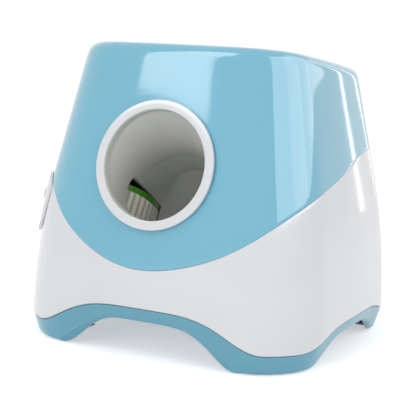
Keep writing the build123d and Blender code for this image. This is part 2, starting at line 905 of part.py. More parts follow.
def chute_half(side):
    """The half of the chute on one side of the middle plane."""
    leg_width = chute_leg_half + leg_foot
    gate_lug_back = gate_back + lug_past_axis
    with BuildPart() as half:
        add(chute_form(chute_wall, side))
        with BuildSketch(Plane.YZ):
            with Locations(*[(place.Y, place.Z) for place in chute_lug_points]):
                Circle(chute_lug_radius)
        extrude(amount=side * chute_lug_half)
        with BuildSketch(Plane.XY.offset(floor_top)):
            with Locations((side * leg_width / 2, bend_centre.Y)):
                Rectangle(leg_width, chute_leg_depth)
        extrude(amount=leg_flange)
        with BuildSketch(Plane.XY.offset(floor_top)):
            with Locations((side * chute_leg_half / 2, bend_centre.Y)):
                Rectangle(chute_leg_half, chute_leg_depth)
        extrude(amount=bend_centre.Z - bend_radius - chute_bore - floor_top)
        with BuildSketch(Plane.YZ.offset(side * (lug_inner + lug_outer) / 2)):
            with Locations(((shaft_y + gate_lug_back) / 2, (lug_low + lug_top) / 2)):
                RectangleRounded(gate_lug_back - shaft_y, lug_top - lug_low, lug_round)
        extrude(amount=lug_thickness / 2, both=True)
        with BuildSketch(Plane.YZ):
            with Locations((gate_axis.Y, gate_axis.Z)):
                Circle(gate_pin_radius + shaft_clearance)
        extrude(amount=side * plate_outer, mode=Mode.SUBTRACT)
        with BuildSketch(Plane.YZ):
            with Locations(*[(place.Y, place.Z) for place in chute_lug_points]):
                Circle(screw_hole)
        extrude(amount=side * chute_lug_half, mode=Mode.SUBTRACT)
        with BuildSketch(Plane.XY.offset(floor_top)):
            with Locations(*leg_foot_places):
                Circle(screw_hole)
        extrude(amount=leg_flange, mode=Mode.SUBTRACT)
        add(chute_inside, mode=Mode.SUBTRACT)
        with BuildSketch(axle_plane(side * wheel_spread, -window_below)):
            Circle(tyre_radius + window_clearance)
        extrude(amount=window_below + window_above, mode=Mode.SUBTRACT)
        with BuildSketch(Plane.XY.offset(gate_slot_low)):
            with Locations((0, (shaft_y + gate_back + 2 * lug_past_axis) / 2)):
                Rectangle(gate_width + 2 * gate_slot_gap, gate_back - shaft_y)
        extrude(amount=gate_slot_top - gate_slot_low, mode=Mode.SUBTRACT)
        with BuildSketch(Plane.YZ):
            with Locations((shaft_y, sensor_height)):
                Circle(sensor_radius + shaft_clearance)
        extrude(amount=side * (chute_bore + 2 * chute_wall), mode=Mode.SUBTRACT)
    return half.part


save(chute_half(-1), "chute_left")

with BuildPart() as chute_right:
    add(chute_half(1))
    with BuildSketch(Plane.YZ.offset(lug_inner)):
        with Locations(*gate_screw_places):
            Circle(screw_hole)
    extrude(amount=lug_thickness, mode=Mode.SUBTRACT)
save(chute_right.part, "chute_right")

with BuildPart() as chute_screws:
    for place in chute_lug_points:
        seat = Plane(origin=(-chute_lug_half, place.Y, place.Z), z_dir=(-1, 0, 0))
        add_screw(Location(seat), 2 * chute_lug_half - 1)
save(chute_screws.part, "chute_screws")

for name, side in (("sensor_emitter", -1), ("sensor_receiver", 1)):
    with BuildPart() as sensor:
        with BuildSketch(Plane.YZ.offset(side * (chute_bore + sensor_sink))):
            with Locations((shaft_y, sensor_height)):
                Circle(sensor_radius)
        extrude(amount=side * sensor_length)
        with BuildSketch(Plane.YZ.offset(side * (chute_bore + chute_wall))):
            with Locations((shaft_y, sensor_height)):
                Circle(sensor_radius + sensor_collar)
        extrude(amount=side * sensor_collar_height)
    save(sensor.part, name)

# Wheels, motors and mounts

for name, side in wheel_sides:
    offset = side * wheel_spread
    with BuildPart() as tyre:
        with BuildSketch(axle_plane(offset, -tyre_width)):
            Circle(tyre_radius)
            Circle(tyre_inner, mode=Mode.SUBTRACT)
            with PolarLocations(tyre_radius, tyre_ribs):
                Rectangle(2 * groove_depth, groove_width, mode=Mode.SUBTRACT)
        extrude(amount=tyre_width)
    save(tyre.part, f"{name}_wheel_tyre")

    with BuildPart() as hub:
        with BuildSketch(axle_plane(offset, -tyre_width)):
            Circle(tyre_inner)
            Circle(tyre_inner - hub_rim, mode=Mode.SUBTRACT)
        extrude(amount=tyre_width)
        with BuildSketch(axle_plane(offset, 0)):
            Circle(flange_radius)
            Circle(tyre_inner - hub_rim, mode=Mode.SUBTRACT)
        extrude(amount=flange_height)
        with BuildSketch(axle_plane(offset, -hub_web)):
            Circle(tyre_inner)
            with PolarLocations((tyre_inner + hub_boss) / 2, hub_holes):
                Circle(hub_hole_radius, mode=Mode.SUBTRACT)
        extrude(amount=hub_web)
        with BuildSketch(axle_plane(offset, hub_recess - tyre_width)):
            Circle(hub_boss)
        extrude(amount=tyre_width)
        with BuildSketch(axle_plane(offset, hub_recess - tyre_width)):
            Circle(shaft_radius)
        extrude(amount=tyre_width - 2 * hub_recess, mode=Mode.SUBTRACT)
    save(hub.part, f"{name}_wheel_hub")

    shaft_low = -motor_face_drop - shaft_reach
    with BuildPart() as motor_shaft:
        with BuildSketch(axle_plane(offset, shaft_low)):
            Circle(shaft_radius)
        extrude(amount=-hub_recess - shaft_low)
    save(motor_shaft.part, f"{name}_motor_shaft")

    with BuildPart() as motor:
        with BuildSketch(axle_plane(offset, -motor_face_drop - motor_length)):
            Circle(motor_radius)
        extrude(amount=motor_length)
        fillet(motor.edges(), radius=motor_round)
        with BuildSketch(axle_plane(offset, -motor_face_drop)):
            Circle(motor_boss_radius)
        extrude(amount=motor_boss_height)
        with BuildSketch(axle_plane(offset, shaft_low - shaft_end_gap)):
            Circle(shaft_radius + shaft_clearance)
        extrude(amount=shaft_reach + motor_boss_height + shaft_end_gap, mode=Mode.SUBTRACT)
        with BuildSketch(axle_plane(offset, -motor_face_drop)):
            with Locations((motor_screw_reach, 0), (-motor_screw_reach, 0)):
                Circle(screw_hole)
        extrude(amount=-motor_screw_depth, mode=Mode.SUBTRACT)
    save(motor.part, f"{name}_motor")

    plate_low = chute_point(0, wheel_along - mount_half, -motor_face_drop)
    plate_high = chute_point(0, wheel_along + mount_half, -motor_face_drop)
    with BuildPart() as motor_mount:
        with BuildSketch(axle_plane(offset, -motor_face_drop)):
            Rectangle(2 * mount_half, 2 * mount_half)
            Circle(motor_boss_radius + button_gap, mode=Mode.SUBTRACT)
            with Locations((motor_screw_reach, 0), (-motor_screw_reach, 0)):
                Circle(screw_hole, mode=Mode.SUBTRACT)
        extrude(amount=mount_thickness)
        for edge in (-1, 1):
            with BuildSketch(Plane.YZ.offset(offset + edge * (mount_half - mount_thickness / 2))):
                with BuildLine():
                    Polyline(
                        (plate_low.Y, plate_low.Z),
                        (plate_high.Y, plate_high.Z),
                        (plate_high.Y, floor_top),
                        (plate_low.Y, floor_top),
                        (plate_low.Y, plate_low.Z),
                    )
                make_face()
            extrude(amount=mount_thickness / 2, both=True)
        with BuildSketch(Plane.XY.offset(floor_top)):
            with Locations((side * mount_foot_x, (mount_foot_front + mount_foot_back) / 2)):
                Rectangle(mount_foot, mount_foot_back - mount_foot_front)
        extrude(amount=leg_flange)
        with BuildSketch(Plane.XY.offset(floor_top)):
            with Locations(*mount_foot_places):
                Circle(screw_hole)
        extrude(amount=leg_flange, mode=Mode.SUBTRACT)
    save(motor_mount.part, f"{name}_motor_mount")

with BuildPart() as motor_screws:
    for name, side in wheel_sides:
        seat = axle_plane(side * wheel_spread, -motor_face_drop + mount_thickness)
        for x in (-motor_screw_reach, motor_screw_reach):
            add_screw(Location(seat) * Location((x, 0, 0)), mount_thickness + motor_screw_depth - 1)
save(motor_screws.part, "motor_screws")

with BuildPart() as floor_screws:
    for x, y in floor_screw_places:
        length = leg_flange + floor_thickness + screw_boss_depth - 1.5
        add_screw(Location((x, y, floor_top + leg_flange)), length)
save(floor_screws.part, "floor_screws")

# Ball gate: a flap that blocks the drop shaft and swings down out of it


def gear_outline(teeth, turn):
    """An involute gear's outline, with shortened and slightly thinned teeth."""
    pitch = gear_module * teeth / 2
    base = pitch * cos(radians(pressure_angle))
    tip = pitch + addendum * gear_module
    root = pitch - dedendum * gear_module
    lowest = max(base, root)
    half_tooth = pi / (2 * teeth) - backlash / pitch
    inv_pitch = tan(radians(pressure_angle)) - radians(pressure_angle)
    flank = []
    for step in range(5):
        radius = lowest + (tip - lowest) * step / 4
        roll = acos(base / radius)
        flank.append((radius, half_tooth + inv_pitch - (tan(roll) - roll)))
    flank = [(root, flank[0][1])] + flank
    points = []
    for tooth in range(teeth):
        centre = 2 * pi * tooth / teeth + radians(turn)
        rising = [(radius, centre - angle) for radius, angle in flank]
        falling = [(radius, centre + angle) for radius, angle in reversed(flank)]
        points += [(radius * cos(angle), radius * sin(angle)) for radius, angle in rising + falling]
    return points


def gear_body(teeth, turn, centre, bore):
    """A spur gear on an axis along X, with a bore for its pin or shaft."""
    with BuildPart() as gear:
        with BuildSketch(Plane.YZ.offset(gear_start)):
            with Locations((centre.Y, centre.Z)):
                Polygon(*gear_outline(teeth, turn), align=None)
                Circle(bore, mode=Mode.SUBTRACT)
        extrude(amount=gear_width)
    return gear.part


with BuildPart() as ball_gate:
    with BuildSketch(Plane.YZ):
        with BuildLine():
            Polyline(
                (gate_axis.Y, gate_axis.Z + gate_thickness / 2),
                (gate_tip, gate_axis.Z + gate_thickness / 2),
                (gate_tip, gate_axis.Z - gate_thickness / 2),
                (gate_axis.Y, gate_axis.Z - gate_thickness / 2),
                close=True,
            )
        make_face()
    extrude(amount=gate_width / 2, both=True)
    fillet(ball_gate.edges().filter_by(Axis.Z).group_by(Axis.Y)[0], radius=gate_round)
    with BuildSketch(Plane.YZ):
        with Locations((gate_axis.Y, gate_axis.Z)):
            Circle(gate_hub_radius)
    extrude(amount=gate_width / 2 + gate_slot_gap, both=True)
    with BuildSketch(Plane.YZ):
        with Locations((gate_axis.Y, gate_axis.Z)):
            Circle(gate_pin_radius)
    extrude(amount=gate_width, both=True, mode=Mode.SUBTRACT)
save(ball_gate.part, "ball_gate")

with BuildPart() as gate_pin:
    with BuildSketch(Plane.YZ.offset(-lug_outer - pin_past_lug)):
        with Locations((gate_axis.Y, gate_axis.Z)):
            Circle(gate_pin_radius)
    extrude(amount=lug_outer + pin_past_lug + gear_start + gear_width)
save(gate_pin.part, "gate_pin")

save(gear_body(gear_teeth, 0, gate_axis, gate_pin_radius), "gate_gear")
pinion_turn = 180 / pinion_teeth
save(gear_body(pinion_teeth, pinion_turn, pinion_axis, gate_shaft_radius), "gate_pinion")

gate_plate_front = gate_screw_y - gate_plate_edge
gate_plate_back = pinion_axis.Y + gate_motor_radius

with BuildPart() as gate_motor_plate:
    with BuildSketch(Plane.YZ.offset(lug_outer)):
        with Locations(((gate_plate_front + gate_plate_back) / 2, (lug_low + lug_top) / 2)):
            RectangleRounded(gate_plate_back - gate_plate_front, lug_top - lug_low, lug_round)
        with Locations((gate_axis.Y, gate_axis.Z)):
            Circle(2 * gate_pin_radius, mode=Mode.SUBTRACT)
        with Locations((pinion_axis.Y, pinion_axis.Z)):
            Circle(gate_shaft_hole, mode=Mode.SUBTRACT)
        with Locations(*gate_screw_places):
            Circle(screw_hole, mode=Mode.SUBTRACT)
    extrude(amount=gate_plate)
save(gate_motor_plate.part, "gate_motor_plate")

with BuildPart() as gate_screws:
    for y, z in gate_screw_places:
        seat = Plane(origin=(plate_outer, y, z), z_dir=(1, 0, 0))
        add_screw(Location(seat), gate_plate + lug_thickness + 1)
save(gate_screws.part, "gate_screws")

with BuildPart() as gate_motor:
    with BuildSketch(Plane.YZ.offset(lug_outer)):
        with Locations((pinion_axis.Y, pinion_axis.Z)):
            Circle(gate_motor_radius)
    extrude(amount=-gate_motor_length)
    fillet(gate_motor.edges(), radius=0.8)
    with BuildSketch(Plane.YZ.offset(lug_outer - gate_shaft_seat - shaft_end_gap)):
        with Locations((pinion_axis.Y, pinion_axis.Z)):
            Circle(gate_shaft_radius + shaft_clearance)
    extrude(amount=gate_shaft_seat + shaft_end_gap, mode=Mode.SUBTRACT)
save(gate_motor.part, "gate_motor")

with BuildPart() as gate_motor_shaft:
    with BuildSketch(Plane.YZ.offset(lug_outer - gate_shaft_seat)):
        with Locations((pinion_axis.Y, pinion_axis.Z)):
            Circle(gate_shaft_radius)
    extrude(amount=gate_shaft_seat + gate_plate + gear_gap + gear_width)
save(gate_motor_shaft.part, "gate_motor_shaft")

# Battery box, cells, contacts and door

with BuildPart() as battery_box:
    with BuildSketch(Plane.XY.offset(floor_top)):
        with Locations((0, box_centre)):
            RectangleRounded(2 * (box_half + box_wall), box_depth + 2 * box_wall, box_wall)
    extrude(amount=box_top - floor_top)
    with BuildSketch(Plane.XY.offset(floor_top)):
        for x, y in box_tab_places:
            side = 1 if x > 0 else -1
            with Locations((side * (box_half + box_wall + box_tab / 2 - 0.5), y)):
                Rectangle(box_tab + 1, box_tab_width)
    extrude(amount=leg_flange)
    with BuildSketch(Plane.XY.offset(floor_top)):
        with Locations((0, box_centre)):
            Rectangle(2 * box_half, box_depth)
    extrude(amount=box_ceiling - floor_top, mode=Mode.SUBTRACT)
    with BuildSketch(Plane.XY.offset(floor_top)):
        with Locations(*box_tab_places):
            Circle(screw_hole)
    extrude(amount=leg_flange, mode=Mode.SUBTRACT)
    with BuildSketch(Plane.XY.offset(box_top)):
        with Locations(*board_places):
            Circle(board_post_radius)
    extrude(amount=board_post)
    with BuildSketch(Plane.XY.offset(box_top - box_roof + 0.6)):
        with Locations(*board_places):
            Circle(screw_hole)
    extrude(amount=board_post + box_roof - 0.6, mode=Mode.SUBTRACT)
save(battery_box.part, "battery_box")

with BuildPart() as battery_cells:
    cell_body = cell_length - cell_nub
    for y in cell_places:
        for start in (-cell_length - cell_end_gap, cell_end_gap):
            with BuildSketch(Plane.YZ.offset(start)):
                with Locations((y, cell_height)):
                    Circle(cell_radius)
            extrude(amount=cell_body)
            with BuildSketch(Plane.YZ.offset(start + cell_body)):
                with Locations((y, cell_height)):
                    Circle(cell_nub_radius)
            extrude(amount=cell_nub)
save(battery_cells.part, "battery_cells")

with BuildPart() as battery_contacts:
    for side in (-1, 1):
        for y in cell_places:
            with BuildSketch(Plane.YZ.offset(side * box_half)):
                with Locations((y, cell_height)):
                    RectangleRounded(contact_side, contact_side, lug_round)
            extrude(amount=-side * contact_thickness)
save(battery_contacts.part, "battery_contacts")

with BuildPart() as battery_door:
    with BuildSketch(Plane.XY.offset(floor_low - door_gap - door_thickness)):
        with Locations((0, (hinge_y + door_back) / 2)):
            Rectangle(2 * (box_half + door_overlap), door_back - hinge_y)
        with Locations((0, door_screw_y)):
            RectangleRounded(door_tongue_width, door_tongue, 0.45 * door_tongue)
    extrude(amount=door_thickness)
    with BuildSketch(Plane.YZ):
        with Locations((hinge_y, hinge_z)):
            Circle(hinge_radius)
    barrel_half = hinge_half - hinge_lug - hinge_end_gap
    extrude(amount=barrel_half, both=True)
    notch = box_half + door_overlap - barrel_half
    for side in (-1, 1):
        with Locations((side * (barrel_half + notch / 2), hinge_y, hinge_z)):
            Box(notch, 6 * hinge_radius, 4 * hinge_radius, mode=Mode.SUBTRACT)
    with BuildSketch(Plane.YZ):
        with Locations((hinge_y, hinge_z)):
            Circle(hinge_pin_radius)
    extrude(amount=hinge_half, both=True)
    with BuildSketch(Plane.XY.offset(floor_low)):
        with Locations((0, door_screw_y)):
            Circle(screw_hole)
    extrude(amount=-2 * door_thickness, mode=Mode.SUBTRACT)
save(battery_door.part, "battery_door")

with BuildPart() as door_screw:
    seat_z = floor_low - door_gap - door_thickness
    add_screw(Location((0, door_screw_y, seat_z), (180, 0, 0)), door_thickness + door_gap + 4)
save(door_screw.part, "door_screw")

# Main board on the battery box

with BuildPart() as main_board:
    with BuildSketch(Plane.XY.offset(board_z)):
        with Locations((0, board_front + board_depth / 2)):
            RectangleRounded(2 * board_half, board_depth, board_round)
        with Locations(*board_places):
            Circle(screw_hole, mode=Mode.SUBTRACT)
    extrude(amount=board_thickness)
save(main_board.part, "main_board")

with BuildPart() as board_screws:
    for x, y in board_places:
        add_screw(Location((x, y, board_z + board_thickness)), board_thickness + board_post)
save(board_screws.part, "board_screws")

with BuildPart() as main_board_parts:
    for x, y, wide, deep, tall in board_blocks:
        with BuildSketch(Plane.XY.offset(board_z + board_thickness)):
            with Locations((x, board_front + y)):
                Rectangle(wide, deep)
        extrude(amount=tall)
    for x, y in capacitor_places:
        with BuildSketch(Plane.XY.offset(board_z + board_thickness)):
            with Locations((x, board_front + y)):
                Circle(capacitor_radius)
        extrude(amount=capacitor_height)
save(main_board_parts.part, "main_board_parts")

with BuildPart() as buzzer:
    with BuildSketch(Plane.XY.offset(board_z + board_thickness)):
        with Locations((buzzer_place[0], board_front + buzzer_place[1])):
            Circle(buzzer_radius)
    extrude(amount=buzzer_height)
    with BuildSketch(Plane.XY.offset(board_z + board_thickness + buzzer_height)):
        with Locations((buzzer_place[0], board_front + buzzer_place[1])):
            Circle(buzzer_hole_radius)
    extrude(amount=-buzzer_hole_depth, mode=Mode.SUBTRACT)
save(buzzer.part, "buzzer")

# Control pod, its board, buttons and lamps

pod_skin_outer = casing_form(-pod_proud, casing_base + 20, rim_height - 2 * rim_stock)
pod_skin_inner = casing_form(-pod_seat, casing_base + 10, rim_height - rim_stock)
pod_half = half_width(pod_level)
pod_x = -(pod_half - controls_y**2 / (2 * face_radius(pod_half)))
pod_turn = asin(controls_y / face_radius(pod_half))
pod_normal = (-cos(pod_turn), sin(pod_turn), side_lean(pod_level))
pod_plane = Plane(origin=(pod_x, controls_y, pod_level), x_dir=(0, 1, 0), z_dir=pod_normal)
button_places = [(side * button_spacing / 2, -button_rise) for side in (-1, 1)]
lamp_middle = (lamp_count - 1) / 2
lamp_places = [(lamp_spacing * (index - lamp_middle), lamp_fall) for index in range(lamp_count)]
pod_post_places = [(x, y) for x in (-pod_post_x, pod_post_x) for y in (-pod_post_y, pod_post_y)]

with BuildPart() as control_panel:
    add(pod_skin_outer)
    add(pod_prism(0), mode=Mode.INTERSECT)
    add(pod_skin_inner, mode=Mode.SUBTRACT)
    with BuildSketch(pod_plane.offset(-control_board_depth)):
        with Locations(*pod_post_places):
            Circle(pod_post_radius)
    extrude(amount=control_board_depth + pod_proud / 2)
    with BuildSketch(pod_plane.offset(-control_board_depth)):
        with Locations(*pod_post_places):
            Circle(screw_hole)
    extrude(amount=control_board_depth - 1, mode=Mode.SUBTRACT)
    with BuildSketch(pod_plane.offset(-2 * pod_proud)):
        with Locations(*button_places):
            Circle(button_radius + button_gap)
        with Locations(*lamp_places):
            Circle(lamp_radius + shaft_clearance)
    extrude(amount=5 * pod_proud, mode=Mode.SUBTRACT)
save(control_panel.part, "control_panel")

for name, place in zip(("power_button", "range_button"), button_places):
    with BuildPart() as button:
        with BuildSketch(pod_plane.offset(-pod_seat - button_drop - button_flange_height)):
            with Locations(place):
                Circle(button_flange)
        extrude(amount=button_flange_height)
        with BuildSketch(pod_plane.offset(-pod_seat - button_drop)):
            with Locations(place):
                Circle(button_radius)
        extrude(amount=pod_proud + button_proud + pod_seat + button_drop)
        fillet(button.faces().sort_by(Axis.X)[0].edges(), radius=button_round)
        with BuildSketch(pod_plane.offset(-pod_seat - button_drop - button_flange_height)):
            with Locations(place):
                Circle(button_stem)
        stem = control_board_depth - switch_height - pod_seat - button_drop - button_flange_height
        extrude(amount=seam_gap + button_travel - stem)
    save(button.part, name)

with BuildPart() as indicator_lights:
    with BuildSketch(pod_plane.offset(-lamp_depth)):
        with Locations(*lamp_places):
            Circle(lamp_radius)
    extrude(amount=lamp_depth + pod_proud + lamp_proud)
save(indicator_lights.part, "indicator_lights")

with BuildPart() as control_board:
    with BuildSketch(pod_plane.offset(-control_board_depth)):
        RectangleRounded(control_board_width, control_board_height, board_round)
        with Locations(*pod_post_places):
            Circle(screw_hole, mode=Mode.SUBTRACT)
    extrude(amount=-board_thickness)
    with BuildSketch(pod_plane.offset(-control_board_depth)):
        with Locations(*button_places):
            Rectangle(2 * switch_half, 2 * switch_half)
        with Locations(*lamp_places):
            Rectangle(lamp_source, lamp_source)
    extrude(amount=switch_height)
save(control_board.part, "control_board")

# Power inlet in the back wall

with BuildPart() as power_inlet:
    with BuildSketch(inlet_plane.offset(inlet_gap)):
        Circle(inlet_flange)
    extrude(amount=inlet_flange_height)
    with BuildSketch(inlet_plane.offset(inlet_gap)):
        Circle(inlet_body)
    extrude(amount=-inlet_length)
    with BuildSketch(inlet_plane.offset(inlet_gap + inlet_flange_height)):
        Circle(inlet_bore)
        Circle(inlet_pin, mode=Mode.SUBTRACT)
    extrude(amount=-inlet_depth, mode=Mode.SUBTRACT)
save(power_inlet.part, "power_inlet")
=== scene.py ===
import json
import math

import bmesh
import bpy
import numpy as np
from mathutils import Matrix, Vector


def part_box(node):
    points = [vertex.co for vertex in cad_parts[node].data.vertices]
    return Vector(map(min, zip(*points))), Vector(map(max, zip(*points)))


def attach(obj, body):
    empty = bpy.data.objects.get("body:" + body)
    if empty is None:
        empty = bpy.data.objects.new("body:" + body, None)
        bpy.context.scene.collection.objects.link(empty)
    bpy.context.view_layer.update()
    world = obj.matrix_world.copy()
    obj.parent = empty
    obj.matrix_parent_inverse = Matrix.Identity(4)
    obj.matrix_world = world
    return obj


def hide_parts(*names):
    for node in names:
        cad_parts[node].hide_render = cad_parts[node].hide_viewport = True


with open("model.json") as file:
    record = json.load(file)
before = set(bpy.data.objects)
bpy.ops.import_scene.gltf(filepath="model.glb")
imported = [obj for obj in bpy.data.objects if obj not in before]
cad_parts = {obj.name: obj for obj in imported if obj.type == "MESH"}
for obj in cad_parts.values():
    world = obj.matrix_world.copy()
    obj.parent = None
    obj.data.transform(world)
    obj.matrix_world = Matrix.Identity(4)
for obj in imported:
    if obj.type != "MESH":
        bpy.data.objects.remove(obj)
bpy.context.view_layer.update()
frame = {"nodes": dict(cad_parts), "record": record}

# Casing, in metres: half widths at base and rim, heights, and the knee below which its wall curves
BASE_HALF = 0.113
RIM_HALF = 0.085
CASING_BASE = 0.012
CASING_RISE = 0.190
KNEE_RISE = 0.109
RIM_HEIGHT = CASING_BASE + CASING_RISE
SLOPE = (BASE_HALF - RIM_HALF) / (CASING_RISE - KNEE_RISE / 2)
WALL = 0.0025

# Faces bow out between the corners in a shallow arc with these half chords
FACE_BOW = 0.002
BASE_CHORD = 0.060
RIM_CHORD = 0.045

# Rim: it falls towards the back and is rounded over into the open top
RIM_TILT = math.radians(4.84)
RIM_ROUND = 0.009
OPENING_INSET = 0.013

# Roundings of the shells' edges: at the seam, and where the edge is open to the air
EDGE_ROUND = 0.0005
OPEN_EDGE_ROUND = 0.0009

# Seam between the shells: azimuth from the front towards +X in degrees, and height
WAVE = (
    (0, 0.0604), (13.7, 0.0650), (28.8, 0.0777), (42, 0.0960), (53, 0.1090), (77, 0.1226),
    (98, 0.1327), (135, 0.1420), (180, 0.1470), (225, 0.1420), (262, 0.1320), (285, 0.1240),
    (305, 0.1140), (318, 0.1035), (330, 0.0825), (343, 0.0660),
)
SEAM_GAP = 0.00015

# Arches: half span, height at the corners, height at the middle of the front and of the side
SHELL_ARCH = (0.085, 0.0144, 0.0348, 0.0255)
SKIRT_ARCH = (0.0655, 0.0006, 0.0254, 0.0165)

# Tray: its wall leans between two heights, just inside the lower shell at the upper one
TRAY_LOW = 0.002
TRAY_LOW_HALF = 0.108
TRAY_TOP = 0.038
TRAY_GAP = 0.0003
TRAY_WALL = 0.0025

# Skirt of the tray: it stands almost flush under the white shell and leans in towards the ground
SKIRT_STEP = 0.0006
SKIRT_TAPER = 0.30
SKIRT_ROUND = 0.0035
SKIRT_LAP = 0.0002
SKIRT_RISE = 0.004
SKIRT_GAP = SEAM_GAP * 3
SKIRT_FIRST_SHARE = 0.15

# Mouth ring: height of its centre, how far it stands out, radii, depths and edge roundings
RING_HEIGHT = 0.1297
RING_PROUD = 0.0031
RING_BORE = 0.0370
RING_OUTER = 0.0431
RING_FLANGE = 0.0036
RING_BARREL = 0.0402
RING_DEPTH = 0.0070
RING_ROUND = 0.0006
RING_BACK_ROUND = 0.0003
RING_FLANGE_ROUND = 0.0002
RING_UNDERCUT = 0.0012
RING_SHADOW = 0.0007
MOUTH_CUT_BACK = 0.02
MOUTH_CUT_FRONT = 0.01

# Control pod and power inlet, on the left and at the back of the lower shell
POD_CORNER = 0.014
POD_LAP = 0.0035
POD_CUT_OUT = 0.13
POD_CUT_IN = 0.07
INLET_HOLE = 0.0051
INLET_SIDE = 0.062
INLET_HEIGHT = 0.068
INLET_CUT = 0.02

# Launch chute behind the mouth and the wheels' windows in it, along and across the launch line
LAUNCH_ANGLE = math.radians(30.0)
AXIS_DROP = 0.0052
CHUTE_BORE = 0.034
BELL_LENGTH = 0.021
WHEEL_ALONG = 0.0584
WHEEL_SPREAD = 0.0585
WINDOW_RADIUS = 0.0368
WINDOW_LOW = -0.0284
WINDOW_HIGH = 0.0099

# Lining of the launch bell: its ends sink into the walls behind it by the lip
LINING_START = 0.0012
LINING_MIDDLE = 0.0042
LINING_END = 0.044
LINING_INSET = 0.0002
LINING_LIP = 0.0004
LINING_WALL = 0.0005
ROOF_DROP = 0.0040
SIDE_PULL = 0.0016

# Tyres: ribs and grooves across the tread, and the rounding of the shoulders
TYRE_RADIUS = 0.034
TYRE_BORE = 0.030
TYRE_RIBS = 42
RIB_SHARE = 0.56
RIB_FLANK = 0.07
GROOVE_DEPTH = 0.0013
TYRE_SHOULDER = 0.0012
SHOULDER_STEP = 0.0004
SHOULDER_DROP = 0.0005

# Dry cells: their length, how far along it the dark sleeve reaches, and how soft its edge is
CELL_LENGTH = 0.0501
SLEEVE_LENGTH = 0.034
SLEEVE_EDGE = 0.0005

# Colours
BLUE = (0.178, 0.512, 0.675)
WHITE = (0.780, 0.790, 0.815)
CHUTE = (0.620, 0.630, 0.600)
TYRE = (0.80, 0.80, 0.76)
# Darker beige for the tyre's grooves: painted shade
TYRE_GROOVE_SHADE = (0.50, 0.46, 0.32)
FLOOR_DARK = (0.880, 0.880, 0.882)
FLOOR_PALE = (0.895, 0.895, 0.895)

# Studio: the floor's size and how far it is lifted where it is seen, and the world's two strengths
FLOOR_HALF = 40.0
FLOOR_LIFT = 0.50
WORLD_LIGHT = 0.58
WORLD_SEEN = 1.0

# Point that the lamps face
LAMP_AIM = Vector((0, 0, 0.11))

# Camera: place, turn about the vertical, tilt and roll, and lens on a sensor of this width
CAMERA_PLACE = (0.34088, -0.72977, 0.20520)
CAMERA_TURN = math.radians(25.554)
CAMERA_TILT = math.radians(-8.166)
CAMERA_ROLL = math.radians(2.792)
CAMERA_LENS = 94.96
CAMERA_SENSOR = 36.0
CAMERA_NEAR = 0.01

# How finely the meshes are divided
FACE_STEPS = 40
CORNER_STEPS = 30
OUTER_STEPS = 44
INNER_STEPS = 24
ROUND_STEPS = 3
OPEN_ROUND_STEPS = 4
CUTTER_STEPS = 128
FINE_CUTTER_STEPS = 192
RING_STEPS = 192
LINING_SECTIONS = 24
LINING_STEPS = 128
RIB_STEPS = 12
RIM_ARC_STEPS = 12
UNDER_ARC_STEPS = 8
RIM_FLAT_STEPS = 3
SLAB_STEPS = 12
SKIRT_STEPS = 8
SKIRT_ROUND_STEPS = 8
RING_ROUND_STEPS = 6
SETTLE_STEPS = 40

# Angles in degrees above which an edge stays sharp
SHARP_EDGE = 35.0
SHELL_SHARP_EDGE = 50.0
TYRE_SHARP_EDGE = 40.0


def half_width(z):
    """Half width of the casing at a height: curved below the knee, straight above it."""
    rise = np.asarray(z, float) - CASING_BASE
    curved = BASE_HALF - SLOPE * rise**2 / (2 * KNEE_RISE)
    straight = BASE_HALF - SLOPE * (rise - KNEE_RISE / 2)
    return np.where(rise < KNEE_RISE, curved, straight)


def column_list():
    """Columns round the casing as (quarter turn, on a corner, share), all the way round once."""
    columns = []
    for turn in range(4):
        columns += [(turn, 0, 2 * step / FACE_STEPS - 1) for step in range(FACE_STEPS)]
        columns += [(turn, 1, step / CORNER_STEPS) for step in range(CORNER_STEPS)]
    return np.array(columns, float)


COLUMNS = column_list()


def face_chord(half):
    """Half chord of the shallow arc that a face follows, at a given half width."""
    return BASE_CHORD - (BASE_CHORD - RIM_CHORD) * (BASE_HALF - half) / (BASE_HALF - RIM_HALF)


def face_radius(half):
    """Radius of that arc."""
    return (face_chord(half) ** 2 + FACE_BOW**2) / (2 * FACE_BOW)


def plan(half, inset):
    """Points and outward directions, seen from above, of a section with a given half width."""
    half = np.asarray(half, float)
    chord = face_chord(half)
    radius = face_radius(half)
    lean = np.arcsin(chord / radius)
    corner_radius = (half - FACE_BOW - chord) / (np.cos(lean) - np.sin(lean))
    corner_centre = chord - corner_radius * np.sin(lean)
    on_corner = COLUMNS[:, 1] > 0.5
    share = COLUMNS[:, 2]
    angle = np.where(on_corner, lean + share * (np.pi / 2 - 2 * lean), share * lean)
    reach = np.where(on_corner, corner_radius, radius) - inset
    x = np.where(on_corner, corner_centre, half - radius) + reach * np.cos(angle)
    y = np.where(on_corner, corner_centre, 0.0) + reach * np.sin(angle)
    turn = COLUMNS[:, 0] * np.pi / 2
    point = np.stack([x * np.cos(turn) - y * np.sin(turn), x * np.sin(turn) + y * np.cos(turn)], -1)
    out = np.stack([np.cos(angle + turn), np.sin(angle + turn)], -1)
    return point, out


def wall_points(z, inset=0.0):
    """Points of the casing's wall at the height given for each column, moved in by an inset."""
    point, _ = plan(half_width(z), inset)
    return np.column_stack([point, z])


def settle(start, height_at):
    """The height for each column that a rule gives when it is asked at that same height."""
    z = np.full(len(COLUMNS), start)
    for _ in range(SETTLE_STEPS):
        z = 0.5 * z + 0.5 * height_at(z)
    return z


